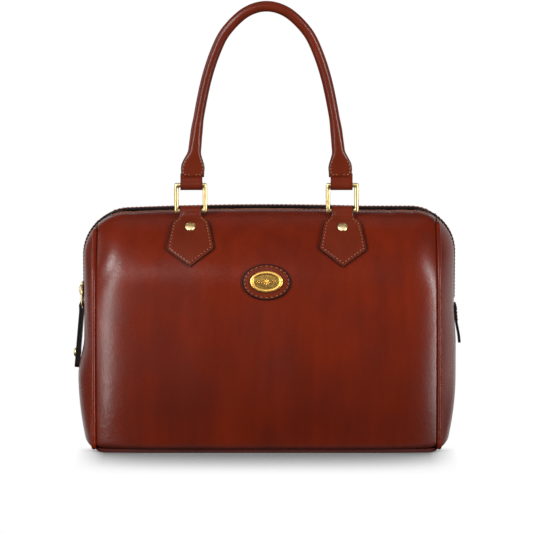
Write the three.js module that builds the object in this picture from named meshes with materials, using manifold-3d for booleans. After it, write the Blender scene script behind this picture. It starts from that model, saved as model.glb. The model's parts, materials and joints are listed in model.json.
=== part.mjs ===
// A brown leather bowling bag: an arched body with a zip over its top, piped end panels,
// two rolled handles on metal rings, riveted chapes and an oval badge.
// Millimetres. X runs along the bag, -Y is its front, +Z is up; the origin is the middle of the base.

import * as THREE from 'three';
import { mergeVertices } from 'three/addons/utils/BufferGeometryUtils.js';
import Module from 'manifold-3d';

const wasm = await Module();
wasm.setup();

const { lerp, smoothstep, degToRad } = THREE.MathUtils;

// Leather and the clearance between neighbouring pieces
const LEATHER = 2;
const GAP = 0.3;

// Body: the seam is where a panel, an end panel and the piping meet
const SEAM_X = 149.2;
const CREST_Z = 202.5;
const CREST_FALL = 2.6;
const CREST_RUN = 120.5;
const FALL_FADE_Z = 90;
const BASE_SEAM_Z = 3.2;
const BASE_THICKNESS = 2.8;
const PANEL_END_TRIM = 2.8;
const GUSSET_EDGE_TRIM = 2.6;

// The panels roll inwards towards the seams
const TUCK_DEPTH = 9;
const TUCK_POWER = 7;
const TUCK_FROM = 12;
const TUCK_FULL = 60;

// The two ends; the left one has slouched a little more. The crest falls as far as fallTo, turns down
// from start by radius, and the end panel bulges out from bulgeFrom down to bellyX at bellyZ.
const CORNERS = {
  left: { side: -1, fallTo: 120.5, start: 120.5, radius: 40, bulgeFrom: 100, bellyX: 166.3, bellyZ: 55 },
  right: { side: 1, fallTo: 84, start: 127, radius: 38, bulgeFrom: 120, bellyX: 167, bellyZ: 80 },
};

// End panels swell outwards between their seams, and draw in towards the base
const SWELL_POWER = 2.5;
const BASE_TUCK = 6.3;
const BASE_TUCK_Z = 54;

// Section of a panel from the zip edge to the base seam, as arcs; slopes are degrees below level,
// and steps are the rows of facets
const ZIP_HALF_GAP = 9.5;
const SECTION = [
  { part: 'zip band', length: 8.5, from: 0, to: 4, steps: 1 },
  { part: 'crown', length: 30.8, from: 4, to: 46, steps: 4 },
  { part: 'shoulder', length: 55.9, from: 46, to: 78, steps: 4 },
  { part: 'wall', length: 0, from: 78, to: 89, steps: 4 },
  { part: 'roll under', length: 10.6, from: 89, to: 150, steps: 3 },
];

// Piping
const PIPING_RADIUS = 2.15;
const PIPING_PROUD = 0.6;
const PIPING_TIP = 0.45;
const PIPING_FLOOR_LIFT = 0.3;
const PIPING_START = 5;
const PIPING_LIFT_OFF = 1.5;
const PIPING_BOW_TRIM = 2.5;
const PIPING_BOW = [-0.86, -0.65, -0.35, 0, 0.35, 0.65, 0.86];

// Zip: depths are measured inwards from the line of the leather's outer face
const ZIP_END_Z = 112;
const TAPE = { halfWidth: 12.5, top: 3.2, thickness: 1, endZ: 108 };
const TEETH = { halfWidth: 3, top: 1.3, thickness: 1.6, endZ: 116 };
const SLIDER = { halfWidth: 5, height: 14, below: 0.4, proud: 2.5, lift: 7.5 };
const BAIL = { halfWidth: 7.6, drop: 14, corner: 2, wire: 0.9, lean: 1.2, seat: 2 };
const PULLER = { length: 56, topWidth: 11, width: 14, wall: 1.3, slit: 1, loop: 1.2, neck: 3.6, lean: 5 };
const PULLER_RIVET = { up: 13, dome: 4, domeHeight: 2, shank: 1.2, cap: 3, capHeight: 0.7 };
const END_TAB = { top: 116.5, bottom: 81.5, halfWidth: 9, tipHalfWidth: 6, lift: 2.3, liftFrom: 108 };

// Rings, their loops and the chapes that hold them
const RING = { x: 65.8, wire: 1.95, halfWidth: 12.4, height: 22.4, corner: 3.5 };
const LOOP_HALF_WIDTH = 9.5;
const LOOP_INNER = RING.wire + GAP;
const LOOP_OUTER = LOOP_INNER + LEATHER;
const CHAPE_RIVET = { down: 18, radius: 4.5, height: 2.4 };
const CHAPE_OUTLINE = [
  { down: -5, half: 9.5 },
  { down: 4.6, half: 9.5 },
  { down: 6, half: 11.5 },
  { down: 12, half: 16.2 },
  { down: 20, half: 17.8 },
  { down: 29, half: 19.5 },
  { down: 36, half: 20.7 },
  { down: 38.8, half: 20.9 },
  { down: 40.6, half: 19.6 },
  { down: 47.5, half: 10 },
  { down: 53, half: 2.4 },
  { down: 54.4, half: 0.9 },
];

// Handles: the front one stands up, the back one hangs behind the bag.
// ringTurn and handleTurn are degrees outwards: of the ring from upright, of the handle from its ring.
const SIDES = {
  front: { side: -1, chape: 20.2, ringTurn: 0, handleTurn: 0 },
  back: { side: 1, chape: 37.8, ringTurn: 124, handleTurn: 34.5 },
};
const HANDLE_PATH = [
  { rise: 7.3, x: 64 },
  { rise: 16, x: 63.8 },
  { rise: 30.5, x: 62.2 },
  { rise: 56.6, x: 59 },
  { rise: 91.2, x: 52 },
  { rise: 117, x: 43.5 },
  { rise: 134.3, x: 34.2 },
  { rise: 149.8, x: 17.8 },
];
const HANDLE_APEX = 155;

// Half sizes up a handle: wide in the handle's own plane, deep from front to back
const HANDLE_SECTION = [
  { rise: 7.3, wide: 9.9, deep: 2.4 },
  { rise: 15, wide: 10.4, deep: 2.6 },
  { rise: 20, wide: 9.2, deep: 2.9 },
  { rise: 25, wide: 7, deep: 3.5 },
  { rise: 31, wide: 5.4, deep: 4.2 },
  { rise: 39, wide: 4.5, deep: 4.5 },
];
const LOOP_STUB = { from: 3.2, to: 6.9, halfThickness: 2.3 };

// Badge: an oval patch sewn on the front, with an oval plate that has a raised rim
const BADGE_DOWN = 89;
const BADGE_PATCH = { halfWidth: 21, halfHeight: 15.5 };
const BADGE_PLATE = { halfWidth: 14.2, halfHeight: 9.3, thickness: 1.8 };

// Outlines of turned pieces as shares of their radius and height
const DOME_OUTLINE = [[1, 0], [0.95, 0.35], [0.75, 0.7], [0.4, 0.94], [0, 1]];
const PATCH_OUTLINE = [[0, 0], [0.5, 0], [1, 0], [1, 1], [0.5, 1], [0, 1]];
const PLATE_OUTLINE = [
  [0, 0], [0.6, 0], [1, 0], [1, 0.6], [0.92, 1], [0.84, 1], [0.78, 0.55], [0.4, 0.55], [0, 0.55],
];

// Facets
const PANEL_COLUMNS = 18;
const GUSSET_COLUMNS = 10;
const ZIP_STEPS = { top: 7, corner: 8, end: 3 };
const BASE_GRID = { columns: 12, rows: 8 };
const HANDLE_HALVINGS = 2;
const RING_STEPS = 24;
const BAIL_STEPS = 20;
const TUBE_SIDES = { piping: 6, bail: 5, ring: 6, handle: 8 };
const TURNED_SIDES = { hole: 10, rivet: 10, loop: 12, badge: 20 };

const MATERIALS = {
  leather: new THREE.MeshStandardMaterial({ color: 0x6a2616, roughness: 0.5, metalness: 0 }),
  trimLeather: new THREE.MeshStandardMaterial({ color: 0x762c17, roughness: 0.48, metalness: 0 }),
  darkLeather: new THREE.MeshStandardMaterial({ color: 0x2f120b, roughness: 0.55, metalness: 0 }),
  zipTape: new THREE.MeshStandardMaterial({ color: 0x271008, roughness: 0.85, metalness: 0 }),
  zipCoil: new THREE.MeshStandardMaterial({ color: 0x32160d, roughness: 0.5, metalness: 0 }),
  gold: new THREE.MeshStandardMaterial({ color: 0xbd9b63, roughness: 0.3, metalness: 1 }),
};

// Geometry helpers

function closed(geometry) {
  geometry.deleteAttribute('normal');
  geometry.deleteAttribute('uv');
  geometry.clearGroups();
  const merged = mergeVertices(geometry, 1e-4);
  merged.computeVertexNormals();
  return merged;
}

function toSolid(geometry) {
  const vertProperties = new Float32Array(geometry.attributes.position.array);
  const triVerts = new Uint32Array(geometry.index.array);
  return new wasm.Manifold(new wasm.Mesh({ numProp: 3, vertProperties, triVerts }));
}

function toGeometry(solid) {
  const mesh = solid.getMesh();
  const geometry = new THREE.BufferGeometry();
  geometry.setAttribute('position', new THREE.BufferAttribute(new Float32Array(mesh.vertProperties), 3));
  geometry.setIndex(new THREE.BufferAttribute(new Uint32Array(mesh.triVerts), 1));
  geometry.computeVertexNormals();
  return geometry;
}

function join(first, second) {
  return toGeometry(toSolid(first).add(toSolid(second)));
}

function cut(body, tool) {
  return toGeometry(toSolid(body).subtract(toSolid(tool)));
}

function normalOf(surface, u, v) {
  const step = 1e-3;
  const across = surface(u + step, v).sub(surface(u - step, v));
  const along = surface(u, v + step).sub(surface(u, v - step));
  return across.cross(along).normalize();
}

// A box bent onto surface(u, v), reaching from inner to outer along the surface's normal
function bend(surface, columns, rows, outer, inner) {
  const geometry = new THREE.BoxGeometry(1, 1, 1, columns, rows, 1);
  const place = geometry.attributes.position;
  for (let i = 0; i < place.count; i += 1) {
    const u = place.getX(i) + 0.5;
    const v = place.getY(i) + 0.5;
    const offset = place.getZ(i) > 0 ? outer : inner;
    const point = surface(u, v).addScaledVector(normalOf(surface, u, v), offset);
    place.setXYZ(i, point.x, point.y, point.z);
  }
  return closed(geometry);
}

// A tube along a curve through its own points; sizeAt gives the half width and half thickness at a
// place on the curve, and the width lies as near as it can to the given direction
function sweep(curve, steps, sides, sizeAt, widthDirection) {
  const geometry = new THREE.CylinderGeometry(1, 1, 1, sides, steps);
  const place = geometry.attributes.position;
  for (let i = 0; i < place.count; i += 1) {
    const t = THREE.MathUtils.clamp(place.getY(i) + 0.5, 0, 1);
    const point = curve.getPoint(t);
    const tangent = curve.getTangent(t);
    const across = widthDirection.clone().addScaledVector(tangent, -widthDirection.dot(tangent)).normalize();
    const through = across.clone().cross(tangent);
    const { width, thickness } = sizeAt(t, point);
    point.addScaledVector(across, place.getX(i) * width);
    point.addScaledVector(through, place.getZ(i) * thickness);
    place.setXYZ(i, point.x, point.y, point.z);
  }
  return closed(geometry);
}

function turned(outline, segments) {
  const points = outline.map(([radius, height]) => new THREE.Vector2(radius, height));
  return closed(new THREE.LatheGeometry(points, segments));
}

function domeOutline(radius, height, base) {
  return DOME_OUTLINE.map(([out, up]) => [out * radius, base + up * height]);
}

// The value at a share of the way through an evenly stepped list
function partWay(list, share) {
  const place = share * (list.length - 1);
  const before = THREE.MathUtils.clamp(Math.floor(place), 0, list.length - 2);
  return lerp(list[before], list[before + 1], place - before);
}

// Straight-line look-up in a table: rows[key] gives the place, rows[value] the size there
function lookUp(rows, key, value, at) {
  const next = rows.findIndex((row) => row[key] >= at);
  if (next < 0) {
    return rows[rows.length - 1][value];
  }
  if (next === 0) {
    return rows[0][value];
  }
  const before = rows[next - 1];
  const after = rows[next];
  return lerp(before[value], after[value], (at - before[key]) / (after[key] - before[key]));
}

// Section and surfaces of the body

function arcRun(from, to, length) {
  const turn = degToRad(to - from);
  if (Math.abs(turn) < 1e-6) {
    return { out: length * Math.cos(degToRad(from)), down: length * Math.sin(degToRad(from)) };
  }
  const radius = length / turn;
  return {
    out: radius * (Math.sin(degToRad(to)) - Math.sin(degToRad(from))),
    down: radius * (Math.cos(degToRad(from)) - Math.cos(degToRad(to))),
  };
}

// The wall takes up the height that the other arcs leave
function wallLength() {
  const others = SECTION.filter((row) => row.part !== 'wall');
  const used = others.reduce((sum, row) => sum + arcRun(row.from, row.to, row.length).down, 0);
  const wall = SECTION.find((row) => row.part === 'wall');
  return (CREST_Z - BASE_SEAM_Z - used) / arcRun(wall.from, wall.to, 1).down;
}

// Distances from the zip edge at which a panel's rows of facets lie
function sectionStations() {
  const stations = [0];
  for (const row of SECTION) {
    const start = stations[stations.length - 1];
    for (let i = 1; i <= row.steps; i += 1) {
      stations.push(start + (row.length * i) / row.steps);
    }
  }
  return stations;
}

SECTION.find((row) => row.part === 'wall').length = wallLength();
const STATIONS = sectionStations();
const PANEL_LENGTH = STATIONS[STATIONS.length - 1];

function sectionAt(distance) {
  const place = { depth: ZIP_HALF_GAP, height: CREST_Z };
  let left = distance;
  for (const row of SECTION) {
    const length = Math.min(left, row.length);
    const run = arcRun(row.from, lerp(row.from, row.to, length / row.length), length);
    place.depth += run.out;
    place.height -= run.down;
    left -= length;
    if (left <= 0) {
      break;
    }
  }
  return place;
}

function cornerAt(x) {
  return x < 0 ? CORNERS.left : CORNERS.right;
}

function crestFall(x) {
  const corner = cornerAt(x);
  const run = Math.min(corner.fallTo, Math.abs(x)) / CREST_RUN;
  const past = Math.max(0, Math.abs(x) - corner.start);
  return CREST_FALL * run * run + corner.radius - Math.sqrt(corner.radius ** 2 - past ** 2);
}

// The height of the middle of a top corner's arc
function cornerCentre(corner) {
  return CREST_Z - crestFall(corner.side * corner.start) - corner.radius;
}

function panelPoint(x, distance, side) {
  const { depth, height } = sectionAt(distance);
  const tuck = TUCK_DEPTH * (Math.abs(x) / SEAM_X) ** TUCK_POWER * smoothstep(depth, TUCK_FROM, TUCK_FULL);
  const fall = crestFall(x) * smoothstep(height, FALL_FADE_Z, CREST_Z);
  return new THREE.Vector3(x, side * (depth - tuck), height - fall);
}

function panelNormal(x, distance, side) {
  const surface = (u, v) => panelPoint(x - side * u, distance - v, side);
  return normalOf(surface, 0, 0);
}

// How far an end panel's middle stands from the bag's centre at a height
function endReach(z, corner) {
  const centre = cornerCentre(corner);
  if (z > centre) {
    return corner.start + Math.sqrt(Math.max(0, corner.radius ** 2 - (z - centre) ** 2));
  }
  const upright = corner.start + corner.radius;
  const swell = (corner.bellyX - upright) * smoothstep(corner.bulgeFrom - z, 0, corner.bulgeFrom - corner.bellyZ);
  const tuck = BASE_TUCK * Math.max(0, 1 - z / BASE_TUCK_Z) ** 2;
  return upright + swell - tuck;
}

function swellAt(across, z, corner) {
  return SEAM_X + (endReach(z, corner) - SEAM_X) * (1 - Math.abs(across) ** SWELL_POWER);
}

function seamPoint(corner, distance, side) {
  return panelPoint(corner.side * SEAM_X, distance, side);
}

// The seam's line moved across the seam, in the bag's cross-section
function besideSeam(corner, distance, side, offset) {
  const normal = panelNormal(corner.side * SEAM_X, distance, side).setX(0).normalize();
  return seamPoint(corner, distance, side).addScaledVector(normal, offset);
}

function gussetPoint(across, distance, corner) {
  const edge = besideSeam(corner, distance, 1, -GUSSET_EDGE_TRIM);
  const x = swellAt(across, edge.z, corner);
  return new THREE.Vector3(corner.side * x, across * edge.y, edge.z);
}

// The zip's line over the top and down both ends, by signed distance from the middle of the bag
function zipLine(distance) {
  const corner = cornerAt(distance);
  const along = Math.abs(distance);
  const centre = cornerCentre(corner);
  const turn = THREE.MathUtils.clamp((along - corner.start) / corner.radius, 0, Math.PI / 2);
  const up = new THREE.Vector3(corner.side * Math.sin(turn), 0, Math.cos(turn));
  if (along <= corner.start) {
    return { point: new THREE.Vector3(distance, 0, CREST_Z - crestFall(distance)), up };
  }
  const below = Math.max(0, along - corner.start - (corner.radius * Math.PI) / 2);
  const z = centre + corner.radius * Math.cos(turn) - below;
  return { point: new THREE.Vector3(corner.side * endReach(z, corner), 0, z), up };
}

function zipReach(corner, endZ) {
  const centre = cornerCentre(corner);
  return corner.start + (corner.radius * Math.PI) / 2 + centre - endZ;
}

// Body pieces

// Columns crowd towards the ends, where the panel curves most
function makePanel(side) {
  const half = SEAM_X - PANEL_END_TRIM;
  const surface = (u, v) => {
    const x = half * Math.sin(Math.PI * (u - 0.5));
    return panelPoint(-side * x, partWay(STATIONS, 1 - v), side);
  };
  return bend(surface, PANEL_COLUMNS, STATIONS.length - 1, 0, -LEATHER);
}

function makeZipSlot(corner) {
  const outline = new THREE.Shape();
  const roundCentre = ZIP_END_Z + ZIP_HALF_GAP;
  outline.moveTo(-ZIP_HALF_GAP, CREST_Z);
  outline.lineTo(-ZIP_HALF_GAP, roundCentre);
  outline.absarc(0, roundCentre, ZIP_HALF_GAP, Math.PI, 2 * Math.PI, false);
  outline.lineTo(ZIP_HALF_GAP, CREST_Z);
  outline.closePath();
  const slot = new THREE.ExtrudeGeometry(outline, { depth: CREST_Z, bevelEnabled: false, curveSegments: 10 });
  const toEnd = new THREE.Matrix4().makeBasis(
    new THREE.Vector3(0, 1, 0),
    new THREE.Vector3(0, 0, 1),
    new THREE.Vector3(1, 0, 0),
  );
  slot.applyMatrix4(toEnd);
  slot.translate(corner.side > 0 ? 0 : -CREST_Z, 0, 0);
  return closed(slot);
}

function makeGusset(corner) {
  const stations = STATIONS.slice(1, -1);
  const surface = (u, v) => gussetPoint(corner.side * lerp(-1, 1, u), partWay(stations, 1 - v), corner);
  const wall = bend(surface, GUSSET_COLUMNS, stations.length - 1, 0, -LEATHER);
  return cut(wall, makeZipSlot(corner));
}

function makeBase() {
  const seam = seamPoint(CORNERS.right, PANEL_LENGTH, 1);
  const endTrim = PIPING_BOW_TRIM + PIPING_RADIUS + 2 * GAP;
  const surface = (u, v) => {
    const lengthwise = lerp(-1, 1, u);
    const crosswise = lerp(-1, 1, v);
    const corner = cornerAt(lengthwise);
    const end = swellAt(Math.min(1, Math.abs(crosswise)), BASE_SEAM_Z, corner) - endTrim;
    const x = lengthwise * end;
    const seamward = THREE.MathUtils.clamp(x, -SEAM_X, SEAM_X);
    const reach = panelPoint(seamward, PANEL_LENGTH, 1).y;
    const y = crosswise * Math.max(reach, seam.y);
    return new THREE.Vector3(x, y, 0);
  };
  return bend(surface, BASE_GRID.columns, BASE_GRID.rows, BASE_THICKNESS, 0);
}

function makePiping(corner) {
  const distances = [PIPING_START, ...STATIONS.slice(1, -1), PANEL_LENGTH - PIPING_LIFT_OFF];
  const run = distances.map((distance) => besideSeam(corner, distance, -1, PIPING_PROUD));
  const low = run[run.length - 1];
  const bow = PIPING_BOW.map((across) => new THREE.Vector3(
    corner.side * (swellAt(across, BASE_SEAM_Z, corner) - PIPING_BOW_TRIM),
    -across * low.y,
    PIPING_RADIUS + PIPING_FLOOR_LIFT,
  ));
  const rise = run.map((point) => point.clone().setY(-point.y)).reverse();
  const curve = new THREE.CatmullRomCurve3([...run, ...bow, ...rise]);
  const steps = curve.points.length - 1;
  const sizeAt = (t) => {
    const fromEnd = Math.min(t, 1 - t) * steps;
    const radius = PIPING_RADIUS * lerp(PIPING_TIP, 1, smoothstep(fromEnd, 0, 1));
    return { width: radius, thickness: radius };
  };
  return sweep(curve, steps, TUBE_SIDES.piping, sizeAt, new THREE.Vector3(1, 0, 0));
}

// Zip pieces

function zipStations(corner, endZ) {
  const cornerEnd = corner.start + (corner.radius * Math.PI) / 2;
  const stretches = [
    { from: 0, to: corner.start, steps: ZIP_STEPS.top },
    { from: corner.start, to: cornerEnd, steps: ZIP_STEPS.corner },
    { from: cornerEnd, to: zipReach(corner, endZ), steps: ZIP_STEPS.end },
  ];
  const distances = [];
  for (const { from, to, steps } of stretches) {
    for (let i = 1; i <= steps; i += 1) {
      distances.push(corner.side * lerp(from, to, i / steps));
    }
  }
  return distances;
}

function makeZipStrip(strip) {
  const left = zipStations(CORNERS.left, strip.endZ).reverse();
  const stations = [...left, 0, ...zipStations(CORNERS.right, strip.endZ)];
  const surface = (u, v) => {
    const { point, up } = zipLine(partWay(stations, v));
    point.y = lerp(strip.halfWidth, -strip.halfWidth, u);
    return point.addScaledVector(up, -strip.top);
  };
  return bend(surface, 1, stations.length - 1, 0, -strip.thickness);
}

function roundedRectanglePath(halfWidth, height, corner) {
  const corners = [
    { x: halfWidth, z: 0, in: [-1, 0], out: [0, 1] },
    { x: halfWidth, z: height, in: [0, -1], out: [-1, 0] },
    { x: -halfWidth, z: height, in: [1, 0], out: [0, -1] },
    { x: -halfWidth, z: 0, in: [0, 1], out: [1, 0] },
  ];
  const path = new THREE.CurvePath();
  const near = (place, way) => new THREE.Vector3(place.x + way[0] * corner, 0, place.z + way[1] * corner);
  corners.forEach((place, i) => {
    const next = corners[(i + 1) % corners.length];
    const tip = new THREE.Vector3(place.x, 0, place.z);
    path.add(new THREE.QuadraticBezierCurve3(near(place, place.in), tip, near(place, place.out)));
    path.add(new THREE.LineCurve3(near(place, place.out), near(next, next.in)));
  });
  return path;
}

function sliderPlace() {
  const z = ZIP_END_Z + ZIP_HALF_GAP + SLIDER.lift;
  return new THREE.Vector3(-endReach(z, CORNERS.left), 0, z);
}

// The slider is a body over the teeth with a wire bail that hangs from it
function makeSlider() {
  const thickness = SLIDER.below + SLIDER.proud;
  const body = closed(new THREE.BoxGeometry(thickness, 2 * SLIDER.halfWidth, SLIDER.height, 1, 1, 1));
  body.translate((SLIDER.below - SLIDER.proud) / 2, 0, 0);
  const path = roundedRectanglePath(BAIL.halfWidth, BAIL.drop, BAIL.corner);
  const bail = closed(new THREE.TubeGeometry(path, BAIL_STEPS, BAIL.wire, TUBE_SIDES.bail, true));
  bail.rotateZ(Math.PI / 2);
  bail.translate(0, 0, -BAIL.drop);
  bail.rotateY(Math.asin(BAIL.lean / BAIL.drop));
  bail.translate(-BAIL.seat, 0, 0);
  return join(body, bail);
}

function bailBar() {
  const swing = Math.asin(BAIL.lean / BAIL.drop);
  return sliderPlace().add(new THREE.Vector3(-BAIL.seat - BAIL.lean, 0, -BAIL.drop * Math.cos(swing)));
}

// The puller is a strip folded round the bail's bar, its two layers held by a rivet
function makePuller() {
  const outer = PULLER.loop + PULLER.wall;
  const inner = PULLER.slit / 2;
  const leg = inner + PULLER.wall;
  const shoulder = -PULLER.neck;
  const fold = new THREE.Shape();
  fold.moveTo(-leg, -PULLER.length);
  fold.lineTo(-inner, -PULLER.length);
  fold.lineTo(-inner, shoulder);
  fold.lineTo(-PULLER.loop, 0);
  fold.absarc(0, 0, PULLER.loop, Math.PI, 0, true);
  fold.lineTo(inner, shoulder);
  fold.lineTo(inner, -PULLER.length);
  fold.lineTo(leg, -PULLER.length);
  fold.lineTo(leg, shoulder);
  fold.lineTo(outer, 0);
  fold.absarc(0, 0, outer, 0, Math.PI, false);
  fold.lineTo(-leg, shoulder);
  fold.closePath();
  const strip = new THREE.ExtrudeGeometry(fold, { depth: 1, bevelEnabled: false, curveSegments: 8 });
  const place = strip.attributes.position;
  for (let i = 0; i < place.count; i += 1) {
    const down = -place.getY(i) / PULLER.length;
    const width = lerp(PULLER.topWidth, PULLER.width, smoothstep(down, 0, 1));
    place.setXYZ(i, place.getX(i), (0.5 - place.getZ(i)) * width, place.getY(i));
  }
  const hole = turned([
    [0, -PULLER.length],
    [PULLER_RIVET.shank + GAP, -PULLER.length],
    [PULLER_RIVET.shank + GAP, PULLER.length],
    [0, PULLER.length],
  ], TURNED_SIDES.hole);
  hole.rotateZ(Math.PI / 2);
  hole.translate(0, 0, PULLER_RIVET.up - PULLER.length);
  return cut(closed(strip), hole);
}

function makePullerRivet() {
  const face = PULLER.slit / 2 + PULLER.wall + GAP;
  const { dome, domeHeight, shank, cap, capHeight } = PULLER_RIVET;
  const rivet = turned([
    [0, -face - capHeight],
    [cap, -face - capHeight],
    [cap, -face],
    [shank, -face],
    [shank, face],
    ...domeOutline(dome, domeHeight, face),
  ], TURNED_SIDES.rivet);
  rivet.rotateZ(Math.PI / 2);
  rivet.translate(0, 0, PULLER_RIVET.up - PULLER.length);
  return rivet;
}

// A plain leather tab sewn over the zip's other end
function makeEndTab() {
  const corner = CORNERS.right;
  const surface = (u, v) => {
    const z = lerp(END_TAB.bottom, END_TAB.top, v);
    const half = lerp(END_TAB.tipHalfWidth, END_TAB.halfWidth, smoothstep(v, 0, 0.5));
    const lift = END_TAB.lift * smoothstep(END_TAB.liftFrom - z, 0, END_TAB.liftFrom - END_TAB.bottom);
    return new THREE.Vector3(endReach(z, corner) + lift, lerp(-half, half, u), z);
  };
  return bend(surface, 2, 8, GAP + LEATHER, GAP);
}

// Rings, chapes and handles

function ringBar(hold) {
  const x = RING.x;
  const lift = 2 * GAP + LEATHER + RING.wire;
  return panelPoint(x, hold.chape, hold.side).addScaledVector(panelNormal(x, hold.chape, hold.side), lift);
}

function makeRing() {
  const path = roundedRectanglePath(RING.halfWidth, RING.height, RING.corner);
  return closed(new THREE.TubeGeometry(path, RING_STEPS, RING.wire, TUBE_SIDES.ring, true));
}

function makeLoop() {
  const loop = turned([
    [LOOP_INNER, -LOOP_HALF_WIDTH],
    [LOOP_OUTER, -LOOP_HALF_WIDTH],
    [LOOP_OUTER, LOOP_HALF_WIDTH],
    [LOOP_INNER, LOOP_HALF_WIDTH],
    [LOOP_INNER, -LOOP_HALF_WIDTH],
  ], TURNED_SIDES.loop);
  loop.rotateZ(Math.PI / 2);
  return loop;
}

// A chape is a shield-shaped tab on the panel whose top end loops round the ring's lower bar
function makeChape(hold, x) {
  const halves = CHAPE_OUTLINE.map((row) => row.half);
  const downs = CHAPE_OUTLINE.map((row) => row.down);
  const surface = (u, v) => {
    const half = partWay(halves, 1 - v);
    return panelPoint(x - hold.side * lerp(-half, half, u), hold.chape + partWay(downs, 1 - v), hold.side);
  };
  const tab = bend(surface, 2, 2 * (CHAPE_OUTLINE.length - 1), GAP + LEATHER, GAP);
  const bar = ringBar(hold);
  const loop = makeLoop();
  loop.translate(x, bar.y, bar.z);
  return join(tab, loop);
}

function makeChapeRivet() {
  const dome = domeOutline(CHAPE_RIVET.radius, CHAPE_RIVET.height, 0);
  return turned([[0, 0], ...dome], TURNED_SIDES.rivet);
}

// The handle's end loop closes round the ring's upper bar and runs up between the handle's end layers
function makeHandleLoop() {
  const { from, to, halfThickness } = LOOP_STUB;
  const stub = closed(new THREE.BoxGeometry(2 * LOOP_HALF_WIDTH, 2 * halfThickness, to - from));
  stub.translate(0, 0, (from + to) / 2);
  return join(makeLoop(), stub);
}

function makeHandle() {
  const right = HANDLE_PATH.map(({ rise, x }) => new THREE.Vector3(x, 0, rise));
  const left = right.map((point) => point.clone().setX(-point.x)).reverse();
  const curve = new THREE.CatmullRomCurve3([...right, new THREE.Vector3(0, 0, HANDLE_APEX), ...left]);
  const sizeAt = (t, point) => ({
    width: lookUp(HANDLE_SECTION, 'rise', 'deep', point.z),
    thickness: lookUp(HANDLE_SECTION, 'rise', 'wide', point.z),
  });
  const steps = (curve.points.length - 1) * HANDLE_HALVINGS;
  return sweep(curve, steps, TUBE_SIDES.handle, sizeAt, new THREE.Vector3(0, 1, 0));
}

// Badge pieces: discs turned on a unit radius and height, then laid on the front panel

function layOnFront(disc, size, outer, inner) {
  const place = disc.attributes.position;
  for (let i = 0; i < place.count; i += 1) {
    const x = place.getX(i) * size.halfWidth;
    const distance = BADGE_DOWN + place.getZ(i) * size.halfHeight;
    const normal = panelNormal(x, distance, -1);
    const point = panelPoint(x, distance, -1).addScaledVector(normal, lerp(inner, outer, place.getY(i)));
    place.setXYZ(i, point.x, point.y, point.z);
  }
  disc.computeVertexNormals();
  return disc;
}

function makeBadgePatch() {
  const disc = turned(PATCH_OUTLINE, TURNED_SIDES.badge);
  return layOnFront(disc, BADGE_PATCH, GAP + LEATHER, GAP);
}

function makeBadgePlate() {
  const disc = turned(PLATE_OUTLINE, TURNED_SIDES.badge);
  const seat = LEATHER + 2 * GAP;
  return layOnFront(disc, BADGE_PLATE, seat + BADGE_PLATE.thickness, seat);
}

// Assembly

const bag = new THREE.Group();

function addMesh(group, name, geometry, material) {
  const mesh = new THREE.Mesh(geometry, material);
  mesh.name = name;
  group.add(mesh);
  return mesh;
}

for (const [name, hold] of Object.entries(SIDES)) {
  addMesh(bag, `${name}_panel`, makePanel(hold.side), MATERIALS.leather);
}
addMesh(bag, 'base_panel', makeBase(), MATERIALS.leather);
for (const [name, corner] of Object.entries(CORNERS)) {
  addMesh(bag, `${name}_gusset`, makeGusset(corner), MATERIALS.leather);
  addMesh(bag, `${name}_piping`, makePiping(corner), MATERIALS.leather);
}

addMesh(bag, 'zip_tape', makeZipStrip(TAPE), MATERIALS.zipTape);
addMesh(bag, 'zip_teeth', makeZipStrip(TEETH), MATERIALS.zipCoil);
addMesh(bag, 'zip_slider', makeSlider(), MATERIALS.gold).position.copy(sliderPlace());
addMesh(bag, 'zip_end_tab', makeEndTab(), MATERIALS.darkLeather);

const pullerGroup = new THREE.Group();
pullerGroup.position.copy(bailBar());
pullerGroup.rotation.y = degToRad(PULLER.lean);
addMesh(pullerGroup, 'zip_puller', makePuller(), MATERIALS.darkLeather);
addMesh(pullerGroup, 'zip_puller_rivet', makePullerRivet(), MATERIALS.gold);
bag.add(pullerGroup);

addMesh(bag, 'badge_patch', makeBadgePatch(), MATERIALS.trimLeather);
addMesh(bag, 'badge_plate', makeBadgePlate(), MATERIALS.gold);

for (const [name, hold] of Object.entries(SIDES)) {
  const bar = ringBar(hold);
  const rings = new THREE.Group();
  rings.position.set(0, bar.y, bar.z);
  rings.rotation.x = degToRad(-hold.side * hold.ringTurn);
  const handle = new THREE.Group();
  handle.position.z = RING.height;
  handle.rotation.x = degToRad(-hold.side * hold.handleTurn);
  rings.add(handle);
  bag.add(rings);
  addMesh(handle, `${name}_handle`, makeHandle(), MATERIALS.trimLeather);
  for (const end of Object.keys(CORNERS)) {
    const x = CORNERS[end].side * RING.x;
    addMesh(bag, `${name}_${end}_chape`, makeChape(hold, x), MATERIALS.trimLeather);
    const rivet = addMesh(bag, `${name}_${end}_rivet`, makeChapeRivet(), MATERIALS.gold);
    const rivetDistance = hold.chape + CHAPE_RIVET.down;
    const normal = panelNormal(x, rivetDistance, hold.side);
    rivet.position.copy(panelPoint(x, rivetDistance, hold.side).addScaledVector(normal, LEATHER + 2 * GAP));
    rivet.quaternion.setFromUnitVectors(new THREE.Vector3(0, 1, 0), normal);
    addMesh(rings, `${name}_${end}_ring`, makeRing(), MATERIALS.gold).position.x = x;
    addMesh(handle, `${name}_${end}_handle_loop`, makeHandleLoop(), MATERIALS.trimLeather).position.x = x;
  }
}

export default bag;
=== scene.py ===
"""Dresses the bowling bag: its leather, stitching, zip and metal fittings, on a small white stage."""

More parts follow.
